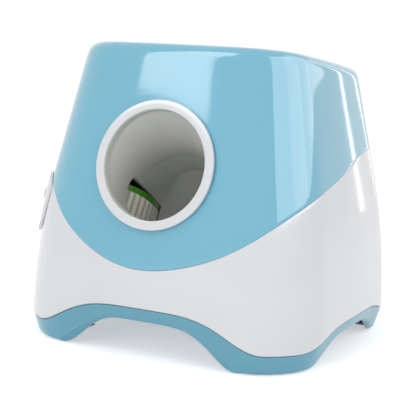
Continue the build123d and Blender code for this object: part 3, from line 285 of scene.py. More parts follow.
def periodic_curve(knots, values, period, where):
    """A closed cubic spline through the values at the knots, read at other places."""
    knots = np.array(knots, float)
    values = np.array(values, float)
    count = len(knots)
    gaps = np.append(np.diff(knots), period - knots[-1] + knots[0])
    steps = np.append(np.diff(values), values[0] - values[-1]) / gaps
    matrix = np.zeros((count, count))
    right = np.zeros(count)
    for row in range(count):
        before = (row - 1) % count
        after = (row + 1) % count
        matrix[row, before] += gaps[row]
        matrix[row, row] += 2 * (gaps[before] + gaps[row])
        matrix[row, after] += gaps[before]
        right[row] = 3 * (gaps[row] * steps[before] + gaps[before] * steps[row])
    slopes = np.linalg.solve(matrix, right)
    where = np.mod(where - knots[0], period) + knots[0]
    index = np.searchsorted(knots, where, side="right") - 1
    share = (where - knots[index]) / gaps[index]
    after = (index + 1) % count
    return (
        (1 + 2 * share) * (1 - share) ** 2 * values[index]
        + share * (1 - share) ** 2 * gaps[index] * slopes[index]
        + share**2 * (3 - 2 * share) * values[after]
        + share**2 * (share - 1) * gaps[index] * slopes[after]
    )


def wave_height(x, y):
    """Height of the seam in the direction of a place."""
    azimuth = np.degrees(np.arctan2(x, -y))
    knots, heights = zip(*WAVE)
    return periodic_curve(knots, heights, 360.0, azimuth)


def seam_heights(inset=0.0):
    """Height at which each column of the casing's wall meets the seam."""
    return settle(RIM_HEIGHT / 2, lambda z: wave_height(*wall_points(z, inset).T[:2]))


def arch_height(x, y, arch):
    """Height of an arched lower edge at a place on the wall."""
    span, low, front_top, side_top = arch
    front = np.clip(np.abs(x) / span, 0, 1)
    side = np.clip(np.abs(y) / span, 0, 1)
    front_height = low + (front_top - low) * np.cos(np.pi / 2 * front**2) ** 2
    side_height = low + (side_top - low) * np.cos(np.pi / 2 * side**2) ** 2
    return np.where(np.abs(y) > np.abs(x), front_height, side_height)


def arch_heights(arch, points_at):
    """Height at which each column meets an arched lower edge."""
    return settle(arch[1], lambda z: arch_height(*points_at(z).T[:2], arch))


# Mesh helpers


def new_object(name, mesh, body="casing"):
    """A shown piece that rides on a body."""
    piece = bpy.data.objects.new(name, mesh)
    bpy.context.scene.collection.objects.link(piece)
    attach(piece, body)
    return piece


def smooth_faces(mesh, sharp):
    """Shade the faces smooth, with edges above an angle in degrees kept sharp."""
    for face in mesh.polygons:
        face.use_smooth = True
    mesh.set_sharp_from_angle(angle=math.radians(sharp))


def mesh_of(name, work):
    """A named mesh with the faces of a bmesh, which is freed."""
    mesh = bpy.data.meshes.new(name)
    work.to_mesh(mesh)
    work.free()
    return mesh


def grid_mesh(name, rows, sharp):
    """A closed mesh from rows of points: each row is a ring, and the last row joins the first."""
    rows = np.asarray(rows, float)
    row_count, column_count = rows.shape[:2]
    faces = []
    for row in range(row_count):
        below = row * column_count
        above = ((row + 1) % row_count) * column_count
        for column in range(column_count):
            beside = (column + 1) % column_count
            faces.append((below + column, below + beside, above + beside, above + column))
    mesh = bpy.data.meshes.new(name)
    mesh.from_pydata([tuple(point) for point in rows.reshape(-1, 3)], [], faces)
    work = bmesh.new()
    work.from_mesh(mesh)
    bmesh.ops.recalc_face_normals(work, faces=work.faces)
    work.to_mesh(mesh)
    work.free()
    smooth_faces(mesh, sharp)
    mesh.validate()
    return mesh


def turned_row(radius, height, angles, matrix):
    """Points at a radius and height about the Z axis of a placing matrix."""
    count = len(angles)
    round_x = radius * np.cos(angles)
    round_y = radius * np.sin(angles)
    points = np.column_stack([round_x, round_y, np.full(count, height), np.ones(count)])
    return (points @ np.array(matrix).T)[:, :3]


def full_turn(steps):
    """Angles evenly spaced round a full turn."""
    return np.linspace(0, 2 * np.pi, steps, endpoint=False)


def placing(origin, normal):
    """A matrix whose Z axis is a normal and whose X axis is as near to +X as that leaves it."""
    z_axis = Vector(normal).normalized()
    y_axis = z_axis.cross(Vector((1, 0, 0))).normalized()
    x_axis = y_axis.cross(z_axis)
    matrix = Matrix((x_axis, y_axis, z_axis)).transposed().to_4x4()
    matrix.translation = Vector(origin)
    return matrix


def rounded_profile(corners, radii, steps):
    """A closed outline of (radius, height) corners, each rounded over a length either side of it."""
    outline = []
    count = len(corners)
    for index, (corner, radius) in enumerate(zip(corners, radii)):
        here = np.array(corner, float)
        before = np.array(corners[index - 1], float) - here
        after = np.array(corners[(index + 1) % count], float) - here
        if radius <= 0:
            outline.append(tuple(here))
            continue
        start = here + before / np.linalg.norm(before) * radius
        end = here + after / np.linalg.norm(after) * radius
        for step in range(steps + 1):
            share = step / steps
            point = (1 - share) ** 2 * start + 2 * share * (1 - share) * here + share**2 * end
            outline.append(tuple(point))
    return outline


def cut(piece, tool_mesh):
    """Cut a closed mesh out of a piece and apply it."""
    tool = bpy.data.objects.new("cutter", tool_mesh)
    bpy.context.scene.collection.objects.link(tool)
    modifier = piece.modifiers.new("cut", "BOOLEAN")
    modifier.operation = "DIFFERENCE"
    modifier.solver = "EXACT"
    modifier.object = tool
    bpy.context.view_layer.update()
    graph = bpy.context.evaluated_depsgraph_get()
    result = bpy.data.meshes.new_from_object(piece.evaluated_get(graph))
    piece.modifiers.clear()
    old = piece.data
    piece.data = result
    bpy.data.objects.remove(tool)
    bpy.data.meshes.remove(old)
    smooth_faces(piece.data, SHARP_EDGE)


def plug_mesh(radius, matrix, low, high, steps=CUTTER_STEPS):
    """A closed cylinder about the Z axis of a placing matrix, used as a cutter."""
    work = bmesh.new()
    bmesh.ops.create_cone(
        work, cap_ends=True, segments=steps, radius1=radius, radius2=radius, depth=high - low
    )
    bmesh.ops.translate(work, verts=work.verts, vec=(0, 0, (high + low) / 2))
    bmesh.ops.transform(work, matrix=matrix, verts=work.verts)
    return mesh_of("plug_cutter", work)


# Materials


class Look:
    """A material and short calls that add nodes to it."""

    def __init__(self, name):
        self.material = bpy.data.materials.new(name)
        self.material.use_nodes = True
        self.tree = self.material.node_tree
        self.shader = self.tree.nodes["Principled BSDF"]
        self.place = self.tree.nodes.new("ShaderNodeTexCoord").outputs["Object"]

    def feed(self, socket, value):
        """Link an output to a socket, or set the socket to a value."""
        if hasattr(value, "is_linked"):
            self.tree.links.new(value, socket)
        else:
            socket.default_value = value

    def node(self, kind, inputs=None, **settings):
        """A new node with its settings and inputs."""
        made = self.tree.nodes.new(kind)
        for key, value in settings.items():
            setattr(made, key, value)
        for key, value in (inputs or {}).items():
            self.feed(made.inputs[key], value)
        return made

    def math(self, operation, first, second):
        """The result of an arithmetic operation on two values."""
        return self.node("ShaderNodeMath", {0: first, 1: second}, operation=operation).outputs[0]

    def noise(self, scale, detail=3.0, stretch=None):
        """Noise fixed to the object, with its features per metre, stretched along the axes if asked."""
        vector = self.place
        if stretch:
            mapped = self.node("ShaderNodeMapping", {"Vector": self.place, "Scale": stretch})
            vector = mapped.outputs[0]
        inputs = {"Vector": vector, "Scale": scale, "Detail": detail, "Roughness": 0.55}
        return self.node("ShaderNodeTexNoise", inputs).outputs["Fac"]

    def spread(self, value, low=0.0, high=1.0, start=0.3, end=0.7):
        """A value that goes from low to high as the given one goes from start to end."""
        inputs = {"Value": value, "From Min": start, "From Max": end, "To Min": low, "To Max": high}
        return self.node("ShaderNodeMapRange", inputs).outputs["Result"]

    def blend(self, share, first, second):
        """A mix of two colours."""
        # The node's colour inputs are numbers 6 and 7, and its colour output is number 2
        made = self.node("ShaderNodeMix", data_type="RGBA")
        self.feed(made.inputs[0], share)
        for key, colour in ((6, first), (7, second)):
            self.feed(made.inputs[key], (*colour, 1.0) if isinstance(colour, tuple) else colour)
        return made.outputs[2]

    def bump(self, height, strength, distance, normal=None):
        """A surface normal tilted by a height, on top of another normal if one is given."""
        inputs = {"Height": height, "Strength": strength, "Distance": distance}
        if normal:
            inputs["Normal"] = normal
        return self.node("ShaderNodeBump", inputs).outputs["Normal"]

    def link(self, value, socket):
        """Link an output to a socket of the shader."""
        self.tree.links.new(value, self.shader.inputs[socket])

    def set(self, socket, value):
        """Set a socket of the shader."""
        self.shader.inputs[socket].default_value = value


def tinted(colour, factor):
    """A colour made darker or lighter."""
    return tuple(channel * factor for channel in colour)


def gloss_plastic(name, colour, roughness, coat=0.0):
    """Glossy moulded plastic: faint flow shading, orange peel, handling haze and fine dust."""
    look = Look(name)
    flow = look.spread(look.noise(scale=9.0, detail=2.0, stretch=(1.0, 1.0, 0.5)))
    tone = look.blend(flow, tinted(colour, 0.975), tinted(colour, 1.02))
    dust = look.spread(look.noise(scale=900.0, detail=2.0), high=0.10, start=0.70, end=0.78)
    look.link(look.blend(dust, tone, tinted(colour, 0.8)), "Base Color")
    haze = look.noise(scale=55.0, detail=4.0)
    swirl = look.noise(scale=260.0, detail=2.0, stretch=(1.0, 0.25, 3.0))
    wear = look.math("MULTIPLY", haze, swirl)
    worn = look.spread(wear, low=roughness * 0.8, high=roughness * 1.5, start=0.15, end=0.45)
    look.link(worn, "Roughness")
    peel = look.bump(look.noise(scale=330.0, detail=1.0), strength=0.05, distance=0.0004)
    grain = look.noise(scale=2600.0, detail=1.0)
    look.link(look.bump(grain, strength=0.03, distance=0.00008, normal=peel), "Normal")
    look.set("IOR", 1.53)
    if coat:
        look.set("Coat Weight", coat)
        look.set("Coat Roughness", 0.04)
    return look.material


def matte_plastic(name, colour, roughness=0.5, texture=0.25, shift=0.1):
    """Fine spark-eroded plastic: a grain of small pits and a slight shift of tone."""
    look = Look(name)
    patches = look.spread(look.noise(scale=40.0))
    tone = look.blend(patches, tinted(colour, 1 - shift), tinted(colour, 1 + shift))
    look.link(tone, "Base Color")
    dull = look.spread(look.noise(scale=180.0), low=roughness * 0.85, high=roughness * 1.15)
    look.link(dull, "Roughness")
    pits = look.noise(scale=1800.0, detail=2.0)
    look.link(look.bump(pits, strength=texture, distance=0.00012), "Normal")
    return look.material


def rubber(name, colour, roughness=0.7, groove_shade=None):
    """Moulded rubber with a chalky bloom and a dusty grain, and a darker colour painted into its grooves
    as shade.
    """
    look = Look(name)
    bloom = look.spread(look.noise(scale=70.0, detail=5.0))
    tone = look.blend(bloom, tinted(colour, 0.92), tinted(colour, 1.06))
    if groove_shade:
        # Groove depth, read from the tyre's mesh, blends in the groove colour as painted shade
        depth = look.node("ShaderNodeAttribute", attribute_name="groove_shade").outputs["Fac"]
        tone = look.blend(depth, tone, groove_shade)
    look.link(tone, "Base Color")
    dull = look.spread(look.noise(scale=240.0), low=roughness * 0.9, high=roughness * 1.15)
    look.link(dull, "Roughness")
    grain = look.noise(scale=1500.0, detail=3.0)
    look.link(look.bump(grain, strength=0.3, distance=0.00015), "Normal")
    return look.material


def metal(name, colour, roughness, stretch=(1.0, 1.0, 12.0)):
    """Plated or brushed metal with fine lines and dull spots."""
    look = Look(name)
    lines = look.noise(scale=700.0, detail=3.0, stretch=stretch)
    spots = look.spread(look.noise(scale=60.0, detail=4.0))
    look.link(look.blend(spots, tinted(colour, 0.85), tinted(colour, 1.08)), "Base Color")
    look.link(look.spread(lines, low=roughness * 0.75, high=roughness * 1.4), "Roughness")
    look.link(look.bump(lines, strength=0.12, distance=0.00006), "Normal")
    look.set("Metallic", 1.0)
    return look.material


def board_look(name):
    """Green solder mask over copper tracks, with small bright pads."""
    look = Look(name)
    cells = look.node(
        "ShaderNodeTexVoronoi",
        {"Vector": look.place, "Scale": 320.0},
        feature="F1",
        distance="MANHATTAN",
    ).outputs["Distance"]
    tracks = look.node(
        "ShaderNodeTexVoronoi",
        {"Vector": look.place, "Scale": 190.0},
        feature="DISTANCE_TO_EDGE",
    ).outputs["Distance"]
    between_tracks = look.spread(tracks, start=0.04, end=0.08)
    mask = look.blend(between_tracks, (0.03, 0.20, 0.09), (0.015, 0.10, 0.045))
    pads = look.spread(cells, low=1.0, high=0.0, start=0.06, end=0.10)
    look.link(look.blend(pads, mask, (0.60, 0.58, 0.50)), "Base Color")
    look.link(look.spread(look.noise(scale=90.0), low=0.22, high=0.36), "Roughness")
    raised = look.spread(tracks, low=1.0, high=0.0, start=0.04, end=0.08)
    look.link(look.bump(raised, strength=0.25, distance=0.00005), "Normal")
    return look.material


def cell_look(name):
    """A plain dark sleeve with a copper coloured end, as on a dry cell."""
    look = Look(name)
    across = look.node("ShaderNodeSeparateXYZ", {"Vector": look.place}).outputs["X"]
    along = look.math("PINGPONG", across, CELL_LENGTH)
    band = look.spread(along, start=SLEEVE_LENGTH, end=SLEEVE_LENGTH + SLEEVE_EDGE)
    scuffs = look.spread(look.noise(scale=120.0, detail=5.0))
    sleeve = look.blend(scuffs, (0.020, 0.022, 0.028), (0.035, 0.037, 0.045))
    look.link(look.blend(band, sleeve, (0.42, 0.20, 0.09)), "Base Color")
    look.link(look.spread(look.noise(scale=200.0), low=0.16, high=0.30), "Roughness")
    return look.material


def lamp_look(name):
    """A clear light pipe: glassy, faintly green, with a soft cloud inside."""
    look = Look(name)
    cloud = look.spread(look.noise(scale=500.0))
    look.link(look.blend(cloud, (0.55, 0.80, 0.62), (0.80, 0.95, 0.85)), "Base Color")
    look.link(look.spread(look.noise(scale=900.0), low=0.08, high=0.16), "Roughness")
    look.set("Transmission Weight", 0.5)
    look.set("IOR", 1.49)
    return look.material


looks = {
    "blue_shell": gloss_plastic("blue_shell", BLUE, roughness=0.07, coat=0.6),
    # The tray's blue is the shell's blue made darker: painted shade, for the tray standing in shadow under
    # the shell
    "blue_tray_painted_shade": gloss_plastic("blue_tray_painted_shade", tinted(BLUE, 0.82), roughness=0.16),
    "white_shell": gloss_plastic("white_shell", WHITE, roughness=0.10, coat=0.4),
    "chute_plastic": matte_plastic("chute_plastic", CHUTE, roughness=0.36, texture=0.05, shift=0.025),
    "tyre_white": rubber("tyre_white", TYRE, groove_shade=TYRE_GROOVE_SHADE),
    "hub_green": gloss_plastic("hub_green", (0.055, 0.26, 0.012), roughness=0.25),
    "dark_plastic": matte_plastic("dark_plastic", (0.024, 0.024, 0.026)),
    "button_plastic": matte_plastic("button_plastic", (0.62, 0.64, 0.66), roughness=0.42, texture=0.15),
    "motor_steel": metal("motor_steel", (0.56, 0.56, 0.57), roughness=0.28),
    "screw_steel": metal("screw_steel", (0.50, 0.50, 0.51), roughness=0.32),
    "board_green": board_look("board_green"),
    "lamp_clear": lamp_look("lamp_clear"),
    "foot_rubber": rubber("foot_rubber", (0.035, 0.035, 0.036), roughness=0.8),
    "cell_sleeve": cell_look("cell_sleeve"),
    "contact_metal": metal("contact_metal", (0.62, 0.60, 0.54), roughness=0.22, stretch=(12.0, 1.0, 1.0)),
    "gear_plastic": matte_plastic("gear_plastic", (0.70, 0.68, 0.60), roughness=0.38, texture=0.1),
}


def dress(piece, slot, look=None):
    """Give a piece the look of a record slot, or another shade of it."""
    piece.data.materials.clear()
    piece.data.materials.append(looks[look or slot])


for row in frame["record"]["subparts"]:
    for slot in frame["nodes"][row["node"]].material_slots:
        slot.material = looks[row["material_slot"]]


# Casing shells


def rim_profile():
    """For each column: where wall and slanted rim meet, the outward direction and the rim's rise."""
    fall = math.tan(RIM_TILT)
    z = settle(RIM_HEIGHT, lambda level: RIM_HEIGHT - plan(half_width(level), 0.0)[0][:, 1] * fall)
    point, out = plan(half_width(z), 0.0)
    return point, out, z, -out[:, 1] * fall


def rim_rows(depth, radius, arc_steps):
    """Rows over the rim at a depth below the outside: round the fillet, then in to the opening."""
    corner, out, corner_z, rise = rim_profile()
    wall_normal = np.array([1.0, SLOPE]) / math.hypot(1.0, SLOPE)
    top_normal = np.stack([-rise, np.ones(len(rise))], -1)
    top_normal /= np.linalg.norm(top_normal, axis=1)[:, None]
    pull = depth + radius
    determinant = wall_normal[0] * top_normal[:, 1] - wall_normal[1] * top_normal[:, 0]
    across = (-pull * top_normal[:, 1] + pull * wall_normal[1]) / determinant
    up = (-pull * wall_normal[0] + pull * top_normal[:, 0]) / determinant
    start = math.atan2(wall_normal[1], wall_normal[0])
    end = np.arctan2(top_normal[:, 1], top_normal[:, 0])
    rows = []
    for step in range(arc_steps + 1):
        angle = start + (end - start) * step / arc_steps
        rows.append((across + radius * np.cos(angle), up + radius * np.sin(angle)))
    last_across, last_up = rows[-1]
    for step in range(1, RIM_FLAT_STEPS + 1):
        share = step / RIM_FLAT_STEPS
        inward = last_across + (-OPENING_INSET - last_across) * share
        rows.append((inward, last_up + (inward - last_across) * rise))
    return [np.column_stack([corner + out * away[:, None], corner_z + lift]) for away, lift in rows]


def wall_rows(low, high, inset, steps):
    """Rows over the wall from one height to another, evenly spaced."""
    shares = np.linspace(0, 1, steps + 1)
    return [wall_points(low + (high - low) * share, inset) for share in shares]


def rounded_rows(first, second, third, steps=ROUND_STEPS, size=EDGE_ROUND):
    """Rows round a corner between three rows of points."""
    to_first = first - second
    to_third = third - second
    start = second + to_first / np.linalg.norm(to_first, axis=1)[:, None] * size
    end = second + to_third / np.linalg.norm(to_third, axis=1)[:, None] * size
    rows = []
    for step in range(steps + 1):
        share = step / steps
        rows.append((1 - share) ** 2 * start + 2 * share * (1 - share) * second + share**2 * end)
    return rows


seam_outer = seam_heights()
seam_inner = seam_heights(WALL)

# Upper shell: up the outside, over the rim, down the inside and round the seam's edge
top_rows = rim_rows(0.0, RIM_ROUND, RIM_ARC_STEPS)
under_rows = rim_rows(WALL, RIM_ROUND - WALL, UNDER_ARC_STEPS)[::-1]
outer_rows = wall_rows(seam_outer + SEAM_GAP, top_rows[0][:, 2], 0.0, OUTER_STEPS)
inner_rows = wall_rows(under_rows[-1][:, 2], seam_inner + SEAM_GAP, WALL, INNER_STEPS)
lip_rows = rounded_rows(top_rows[-2], top_rows[-1], under_rows[0], OPEN_ROUND_STEPS, OPEN_EDGE_ROUND)
under_lip_rows = rounded_rows(top_rows[-1], under_rows[0], under_rows[1])
foot_out = rounded_rows(inner_rows[-1], outer_rows[0], outer_rows[1])
foot_in = rounded_rows(inner_rows[-2], inner_rows[-1], outer_rows[0])
upper_rows = (
    foot_out + outer_rows[1:-1] + top_rows[:-1] + lip_rows + under_lip_rows
    + under_rows[1:-1] + inner_rows[:-1] + foot_in
)
upper_shell = new_object("upper_shell_skin", grid_mesh("upper_shell_skin", upper_rows, SHELL_SHARP_EDGE))
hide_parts("upper_shell")
dress(upper_shell, "blue_shell")

ring_lean = math.atan(SLOPE * min((RING_HEIGHT - CASING_BASE) / KNEE_RISE, 1.0))
RING_NORMAL = Vector((0, -math.cos(ring_lean), math.sin(ring_lean)))
RING_UP = Vector((0, math.sin(ring_lean), math.cos(ring_lean)))
RING_CENTRE = Vector((0, -float(half_width(RING_HEIGHT)) - RING_PROUD, RING_HEIGHT))
ring_place = placing(RING_CENTRE, RING_NORMAL)
mouth_cutter = plug_mesh(RING_OUTER - RING_SHADOW, ring_place, -MOUTH_CUT_BACK, MOUTH_CUT_FRONT)
cut(upper_shell, mouth_cutter)

# Lower shell: up the outside, round the seam's edge, down the inside and round the arched edge
arch_outer = arch_heights(SHELL_ARCH, wall_points)
arch_inner = arch_heights(SHELL_ARCH, lambda z: wall_points(z, WALL))
lower_outer = wall_rows(arch_outer, seam_outer, 0.0, OUTER_STEPS)
lower_inner = wall_rows(seam_inner, arch_inner, WALL, INNER_STEPS)
lower_rows = (
    rounded_rows(lower_inner[-1], lower_outer[0], lower_outer[1], OPEN_ROUND_STEPS, OPEN_EDGE_ROUND)
    + lower_outer[1:-1]
    + rounded_rows(lower_outer[-2], lower_outer[-1], lower_inner[0])
    + rounded_rows(lower_outer[-1], lower_inner[0], lower_inner[1])
    + lower_inner[1:-1]
    + rounded_rows(lower_inner[-2], lower_inner[-1], lower_outer[0], size=OPEN_EDGE_ROUND)
)
lower_shell = new_object("lower_shell_skin", grid_mesh("lower_shell_skin", lower_rows, SHELL_SHARP_EDGE))
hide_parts("lower_shell")
dress(lower_shell, "white_shell")

# Holes in the lower shell for the control pod and the power inlet
pod_low, pod_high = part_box("control_panel")
inlet_low, inlet_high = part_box("power_inlet")
inlet_turn = math.asin(INLET_SIDE / float(face_radius(half_width(INLET_HEIGHT))))
inlet_lean = SLOPE * (INLET_HEIGHT - CASING_BASE) / KNEE_RISE
inlet_normal = Vector((math.sin(inlet_turn), math.cos(inlet_turn), inlet_lean))


def slab_mesh(low, high, corner, from_x, to_x):
    """A rounded rectangle in the YZ plane, carried along X, used as a cutter."""
    outline = []
    for quarter, (side_y, side_z) in enumerate(((1, 1), (-1, 1), (-1, -1), (1, -1))):
        centre_y = (high.y if side_y > 0 else low.y) - side_y * corner
        centre_z = (high.z if side_z > 0 else low.z) - side_z * corner
        for step in range(SLAB_STEPS + 1):
            angle = math.pi / 2 * (quarter + step / SLAB_STEPS)
            outline.append((centre_y + corner * math.cos(angle), centre_z + corner * math.sin(angle)))
    work = bmesh.new()
    loops = [[work.verts.new((x, y, z)) for y, z in outline] for x in (from_x, to_x)]
    count = len(outline)
    for index in range(count):
        after = (index + 1) % count
        work.faces.new((loops[0][index], loops[0][after], loops[1][after], loops[1][index]))
    work.faces.new(loops[0])
    work.faces.new(loops[1])
    bmesh.ops.recalc_face_normals(work, faces=work.faces)
    return mesh_of("slab_cutter", work)


pod_inset = Vector((0, POD_LAP, POD_LAP))
pod_corner = POD_CORNER - POD_LAP
pod_cutter = slab_mesh(pod_low + pod_inset, pod_high - pod_inset, pod_corner, -POD_CUT_OUT, -POD_CUT_IN)
cut(lower_shell, pod_cutter)
inlet_place = placing((inlet_low + inlet_high) / 2, inlet_normal)
cut(lower_shell, plug_mesh(INLET_HOLE, inlet_place, -INLET_CUT, INLET_CUT))

# Skirt of the tray: the lip that shows under the lower shell's arches


def tray_inset(z):
    """How far the inside of the tray's wall lies in from the casing's outside."""
    share = (z - TRAY_LOW) / (TRAY_TOP - TRAY_LOW)
    top_half = half_width(TRAY_TOP) - WALL - TRAY_GAP
    return half_width(z) - (TRAY_LOW_HALF + (top_half - TRAY_LOW_HALF) * share) + TRAY_WALL


def skirt_lean(z):
    """Inset of the skirt's outside at a height."""
    return SKIRT_STEP + SKIRT_TAPER * (arch_outer - z)


def skirt_side(z):
    """Points of the skirt's outside at a height for each column."""
    return wall_points(z, skirt_lean(z))


skirt_low = arch_heights(SKIRT_ARCH, skirt_side)
skirt_top = arch_outer - SKIRT_GAP
skirt_hook = arch_outer + SKIRT_RISE
hidden = np.full(len(COLUMNS), WALL + TRAY_GAP)
skirt_back = [
    wall_points(skirt_low + SKIRT_RISE, tray_inset(skirt_low) + SKIRT_LAP),
    wall_points(skirt_hook, tray_inset(skirt_hook) - TRAY_WALL / 2),
    wall_points(skirt_hook, hidden),
    wall_points(skirt_top, hidden),
]
skirt_drop = skirt_low + SKIRT_ROUND - skirt_top
skirt_shares = np.linspace(SKIRT_FIRST_SHARE, 1, SKIRT_STEPS)
skirt_front = [skirt_side(skirt_top + skirt_drop * share) for share in skirt_shares]
underside = wall_points(skirt_low, skirt_lean(skirt_low) + SKIRT_ROUND)
inside = wall_points(skirt_low, tray_inset(skirt_low) + SKIRT_LAP)
skirt_rows = (
    skirt_back
    + rounded_rows(skirt_back[-1], skirt_side(skirt_top), skirt_front[0])
    + skirt_front
    + rounded_rows(skirt_front[-1], skirt_side(skirt_low), underside, SKIRT_ROUND_STEPS, SKIRT_ROUND)
    + rounded_rows(underside, inside, skirt_back[0])
)
skirt = new_object("base_tray_skirt", grid_mesh("base_tray_skirt", skirt_rows, SHELL_SHARP_EDGE))
# The skirt and the tray get the darker copy of the shell's blue, which is painted shade
dress(skirt, "blue_shell", "blue_tray_painted_shade")
frame["nodes"]["base_tray"].material_slots[0].material = looks["blue_tray_painted_shade"]

# Mouth ring: a profile of (radius, height) turned about the ring's axis, with a rolled front edge

ring_corners = [
    (RING_BORE, -RING_DEPTH),
    (RING_BARREL, -RING_DEPTH),
    (RING_BARREL, -RING_FLANGE),
    (RING_OUTER - RING_UNDERCUT, -RING_FLANGE),
    (RING_OUTER, RING_UNDERCUT - RING_FLANGE),
    (RING_OUTER, 0.0),
    (RING_BORE, 0.0),
]
ring_roundings = [
    RING_BACK_ROUND, RING_BACK_ROUND, 0.0, RING_FLANGE_ROUND, RING_BACK_ROUND, RING_ROUND, RING_ROUND
]
ring_profile = rounded_profile(ring_corners, ring_roundings, RING_ROUND_STEPS)
ring_turn = full_turn(RING_STEPS)
ring_rows = [turned_row(radius, height, ring_turn, ring_place) for radius, height in ring_profile]
mouth_ring = new_object("mouth_ring_turned", grid_mesh("mouth_ring_turned", ring_rows, SHARP_EDGE))
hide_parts("mouth_ring")
dress(mouth_ring, "white_shell")

# Lining of the launch bell: a thin wall that turns smoothly from the ring into the launch tube

INWARD = Vector((0, math.cos(LAUNCH_ANGLE), -math.sin(LAUNCH_ANGLE)))
UPWARD = Vector((0, math.sin(LAUNCH_ANGLE), math.cos(LAUNCH_ANGLE)))
MOUTH_POINT = RING_CENTRE - RING_UP * AXIS_DROP


def bend(first, middle, last, share):
    """A point or length on the quadratic curve of three, at a share of its way."""
    rest = 1 - share
    return first * rest**2 + middle * (2 * rest * share) + last * share**2


def lining_section(share):
    """Top point, bottom point and half width of the lining at a share of its bend."""
    back = RING_CENTRE - RING_NORMAL * RING_DEPTH
    ring_radius = RING_BORE - LINING_INSET
    tube_radius = CHUTE_BORE - LINING_INSET
    corner = MOUTH_POINT + INWARD * BELL_LENGTH
    end = MOUTH_POINT + INWARD * LINING_END
    roof = corner + UPWARD * (tube_radius - ROOF_DROP)
    floor = corner - UPWARD * tube_radius
    top = bend(back + RING_UP * ring_radius, roof, end + UPWARD * tube_radius, share)
    bottom = bend(back - RING_UP * ring_radius, floor, end - UPWARD * tube_radius, share)
    return top, bottom, bend(ring_radius, tube_radius - SIDE_PULL, tube_radius, share)


def lining_row(top, bottom, half, grow, angles):
    """One ring of the lining's points, made larger by a growth."""
    middle = (top + bottom) / 2
    up = (top - bottom) / 2
    up = up * (1 + grow / up.length)
    across = np.outer(np.cos(angles), (half + grow, 0, 0))
    return np.array(middle) + across + np.outer(np.sin(angles), up)


def chute_lining():
    """The lining as a closed thin wall, with the two wheel windows cut in it."""
    angles = full_turn(LINING_STEPS)
    sections = []
    for depth in (LINING_START, LINING_START + LINING_LIP, LINING_MIDDLE):
        middle = RING_CENTRE - RING_NORMAL * depth
        radius = RING_BORE - LINING_INSET
        sections.append((middle + RING_UP * radius, middle - RING_UP * radius, radius))
    sections += [lining_section(share) for share in np.linspace(0, 1, LINING_SECTIONS)]
    grows = [LINING_LIP] + [0.0] * (len(sections) - 2) + [LINING_LIP]
    inner = [lining_row(*section, grow, angles) for section, grow in zip(sections, grows)]
    outer = [lining_row(*section, grow + LINING_WALL, angles) for section, grow in zip(sections, grows)]
    mesh = grid_mesh("chute_bell_lining", inner + outer[::-1], SHELL_SHARP_EDGE)
    lining = new_object("chute_bell_lining", mesh)
    for side in (-1, 1):
        hub = placing(MOUTH_POINT + INWARD * WHEEL_ALONG + Vector((side * WHEEL_SPREAD, 0, 0)), UPWARD)
        cut(lining, plug_mesh(WINDOW_RADIUS, hub, WINDOW_LOW, WINDOW_HIGH, FINE_CUTTER_STEPS))
    dress(lining, "chute_plastic")


chute_lining()

# Tyres: ribs across the tread, with rounded shoulders, turned round each wheel's axle


def joint_row(name):
    """A joint of the record by its name."""
    return next(row for row in frame["record"]["behaviour"]["joints"] if row["name"] == name)


def tread_outline():
    """Angle and drop below the tread for each point round the tyre."""
    angles = []
    drops = []
    for rib in range(TYRE_RIBS):
        for step in range(RIB_STEPS):
            share = step / RIB_STEPS
            edge = np.clip((abs(share - 0.5) - RIB_SHARE / 2) / RIB_FLANK, 0, 1)
            angles.append(2 * np.pi * (rib + share) / TYRE_RIBS)
            drops.append(GROOVE_DEPTH * (3 * edge**2 - 2 * edge**3))
    return np.array(angles), np.array(drops)


def ribbed_tyre(side):
    """The tyre of one wheel as a mesh of its own in place of the plain one."""
    node = frame["nodes"][f"{side}_wheel_tyre"]
    joint = joint_row(f"{side}_wheel_spin")
    axis = Vector(joint["axis"]).normalized()
    pivot = Vector(joint["pos_m"])
    reach = [(vertex.co - pivot).dot(axis) for vertex in node.data.vertices]
    low = min(reach)
    high = max(reach)
    place = placing(pivot, axis)
    angles, drops = tread_outline()
    tread = (
        (low, TYRE_SHOULDER),
        (low + SHOULDER_STEP, SHOULDER_DROP),
        (low + TYRE_SHOULDER, 0.0),
        ((low + high) / 2, 0.0),
        (high - TYRE_SHOULDER, 0.0),
        (high - SHOULDER_STEP, SHOULDER_DROP),
        (high, TYRE_SHOULDER),
    )
    rows = []
    for level, drop in tread:
        rows.append(turned_row(TYRE_RADIUS - np.maximum(drops, drop), level, angles, place))
    for level in (high, low):
        rows.append(turned_row(TYRE_BORE, level, angles, place))
    mesh = grid_mesh(f"{side}_tyre_ribbed", rows, TYRE_SHARP_EDGE)
    # How deep each point sits in a groove, which the tyre's look turns into painted shade
    groove_shade_depths = [drops / GROOVE_DEPTH] * len(tread) + [np.zeros(len(angles))] * 2
    layer = mesh.attributes.new("groove_shade", "FLOAT", "POINT")
    layer.data.foreach_set("value", np.concatenate(groove_shade_depths))
    tyre = new_object(f"{side}_tyre_ribbed", mesh, f"{side}_wheel")
    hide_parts(f"{side}_wheel_tyre")
    dress(tyre, "tyre_white")


for side in ("left", "right"):
    ribbed_tyre(side)

# Floor, world, lamps and camera


def seen_rays(tree):
    """An output that is 1 where the camera, a reflection or a view through glass sees the thing."""
    rays = tree.nodes.new("ShaderNodeLightPath").outputs
    seen = rays["Is Camera Ray"]
    for kind in ("Is Glossy Ray", "Is Transmission Ray"):
        either = tree.nodes.new("ShaderNodeMath")
        either.operation = "MAXIMUM"
        tree.links.new(seen, either.inputs[0])
        tree.links.new(rays[kind], either.inputs[1])
        seen = either.outputs[0]
    return seen


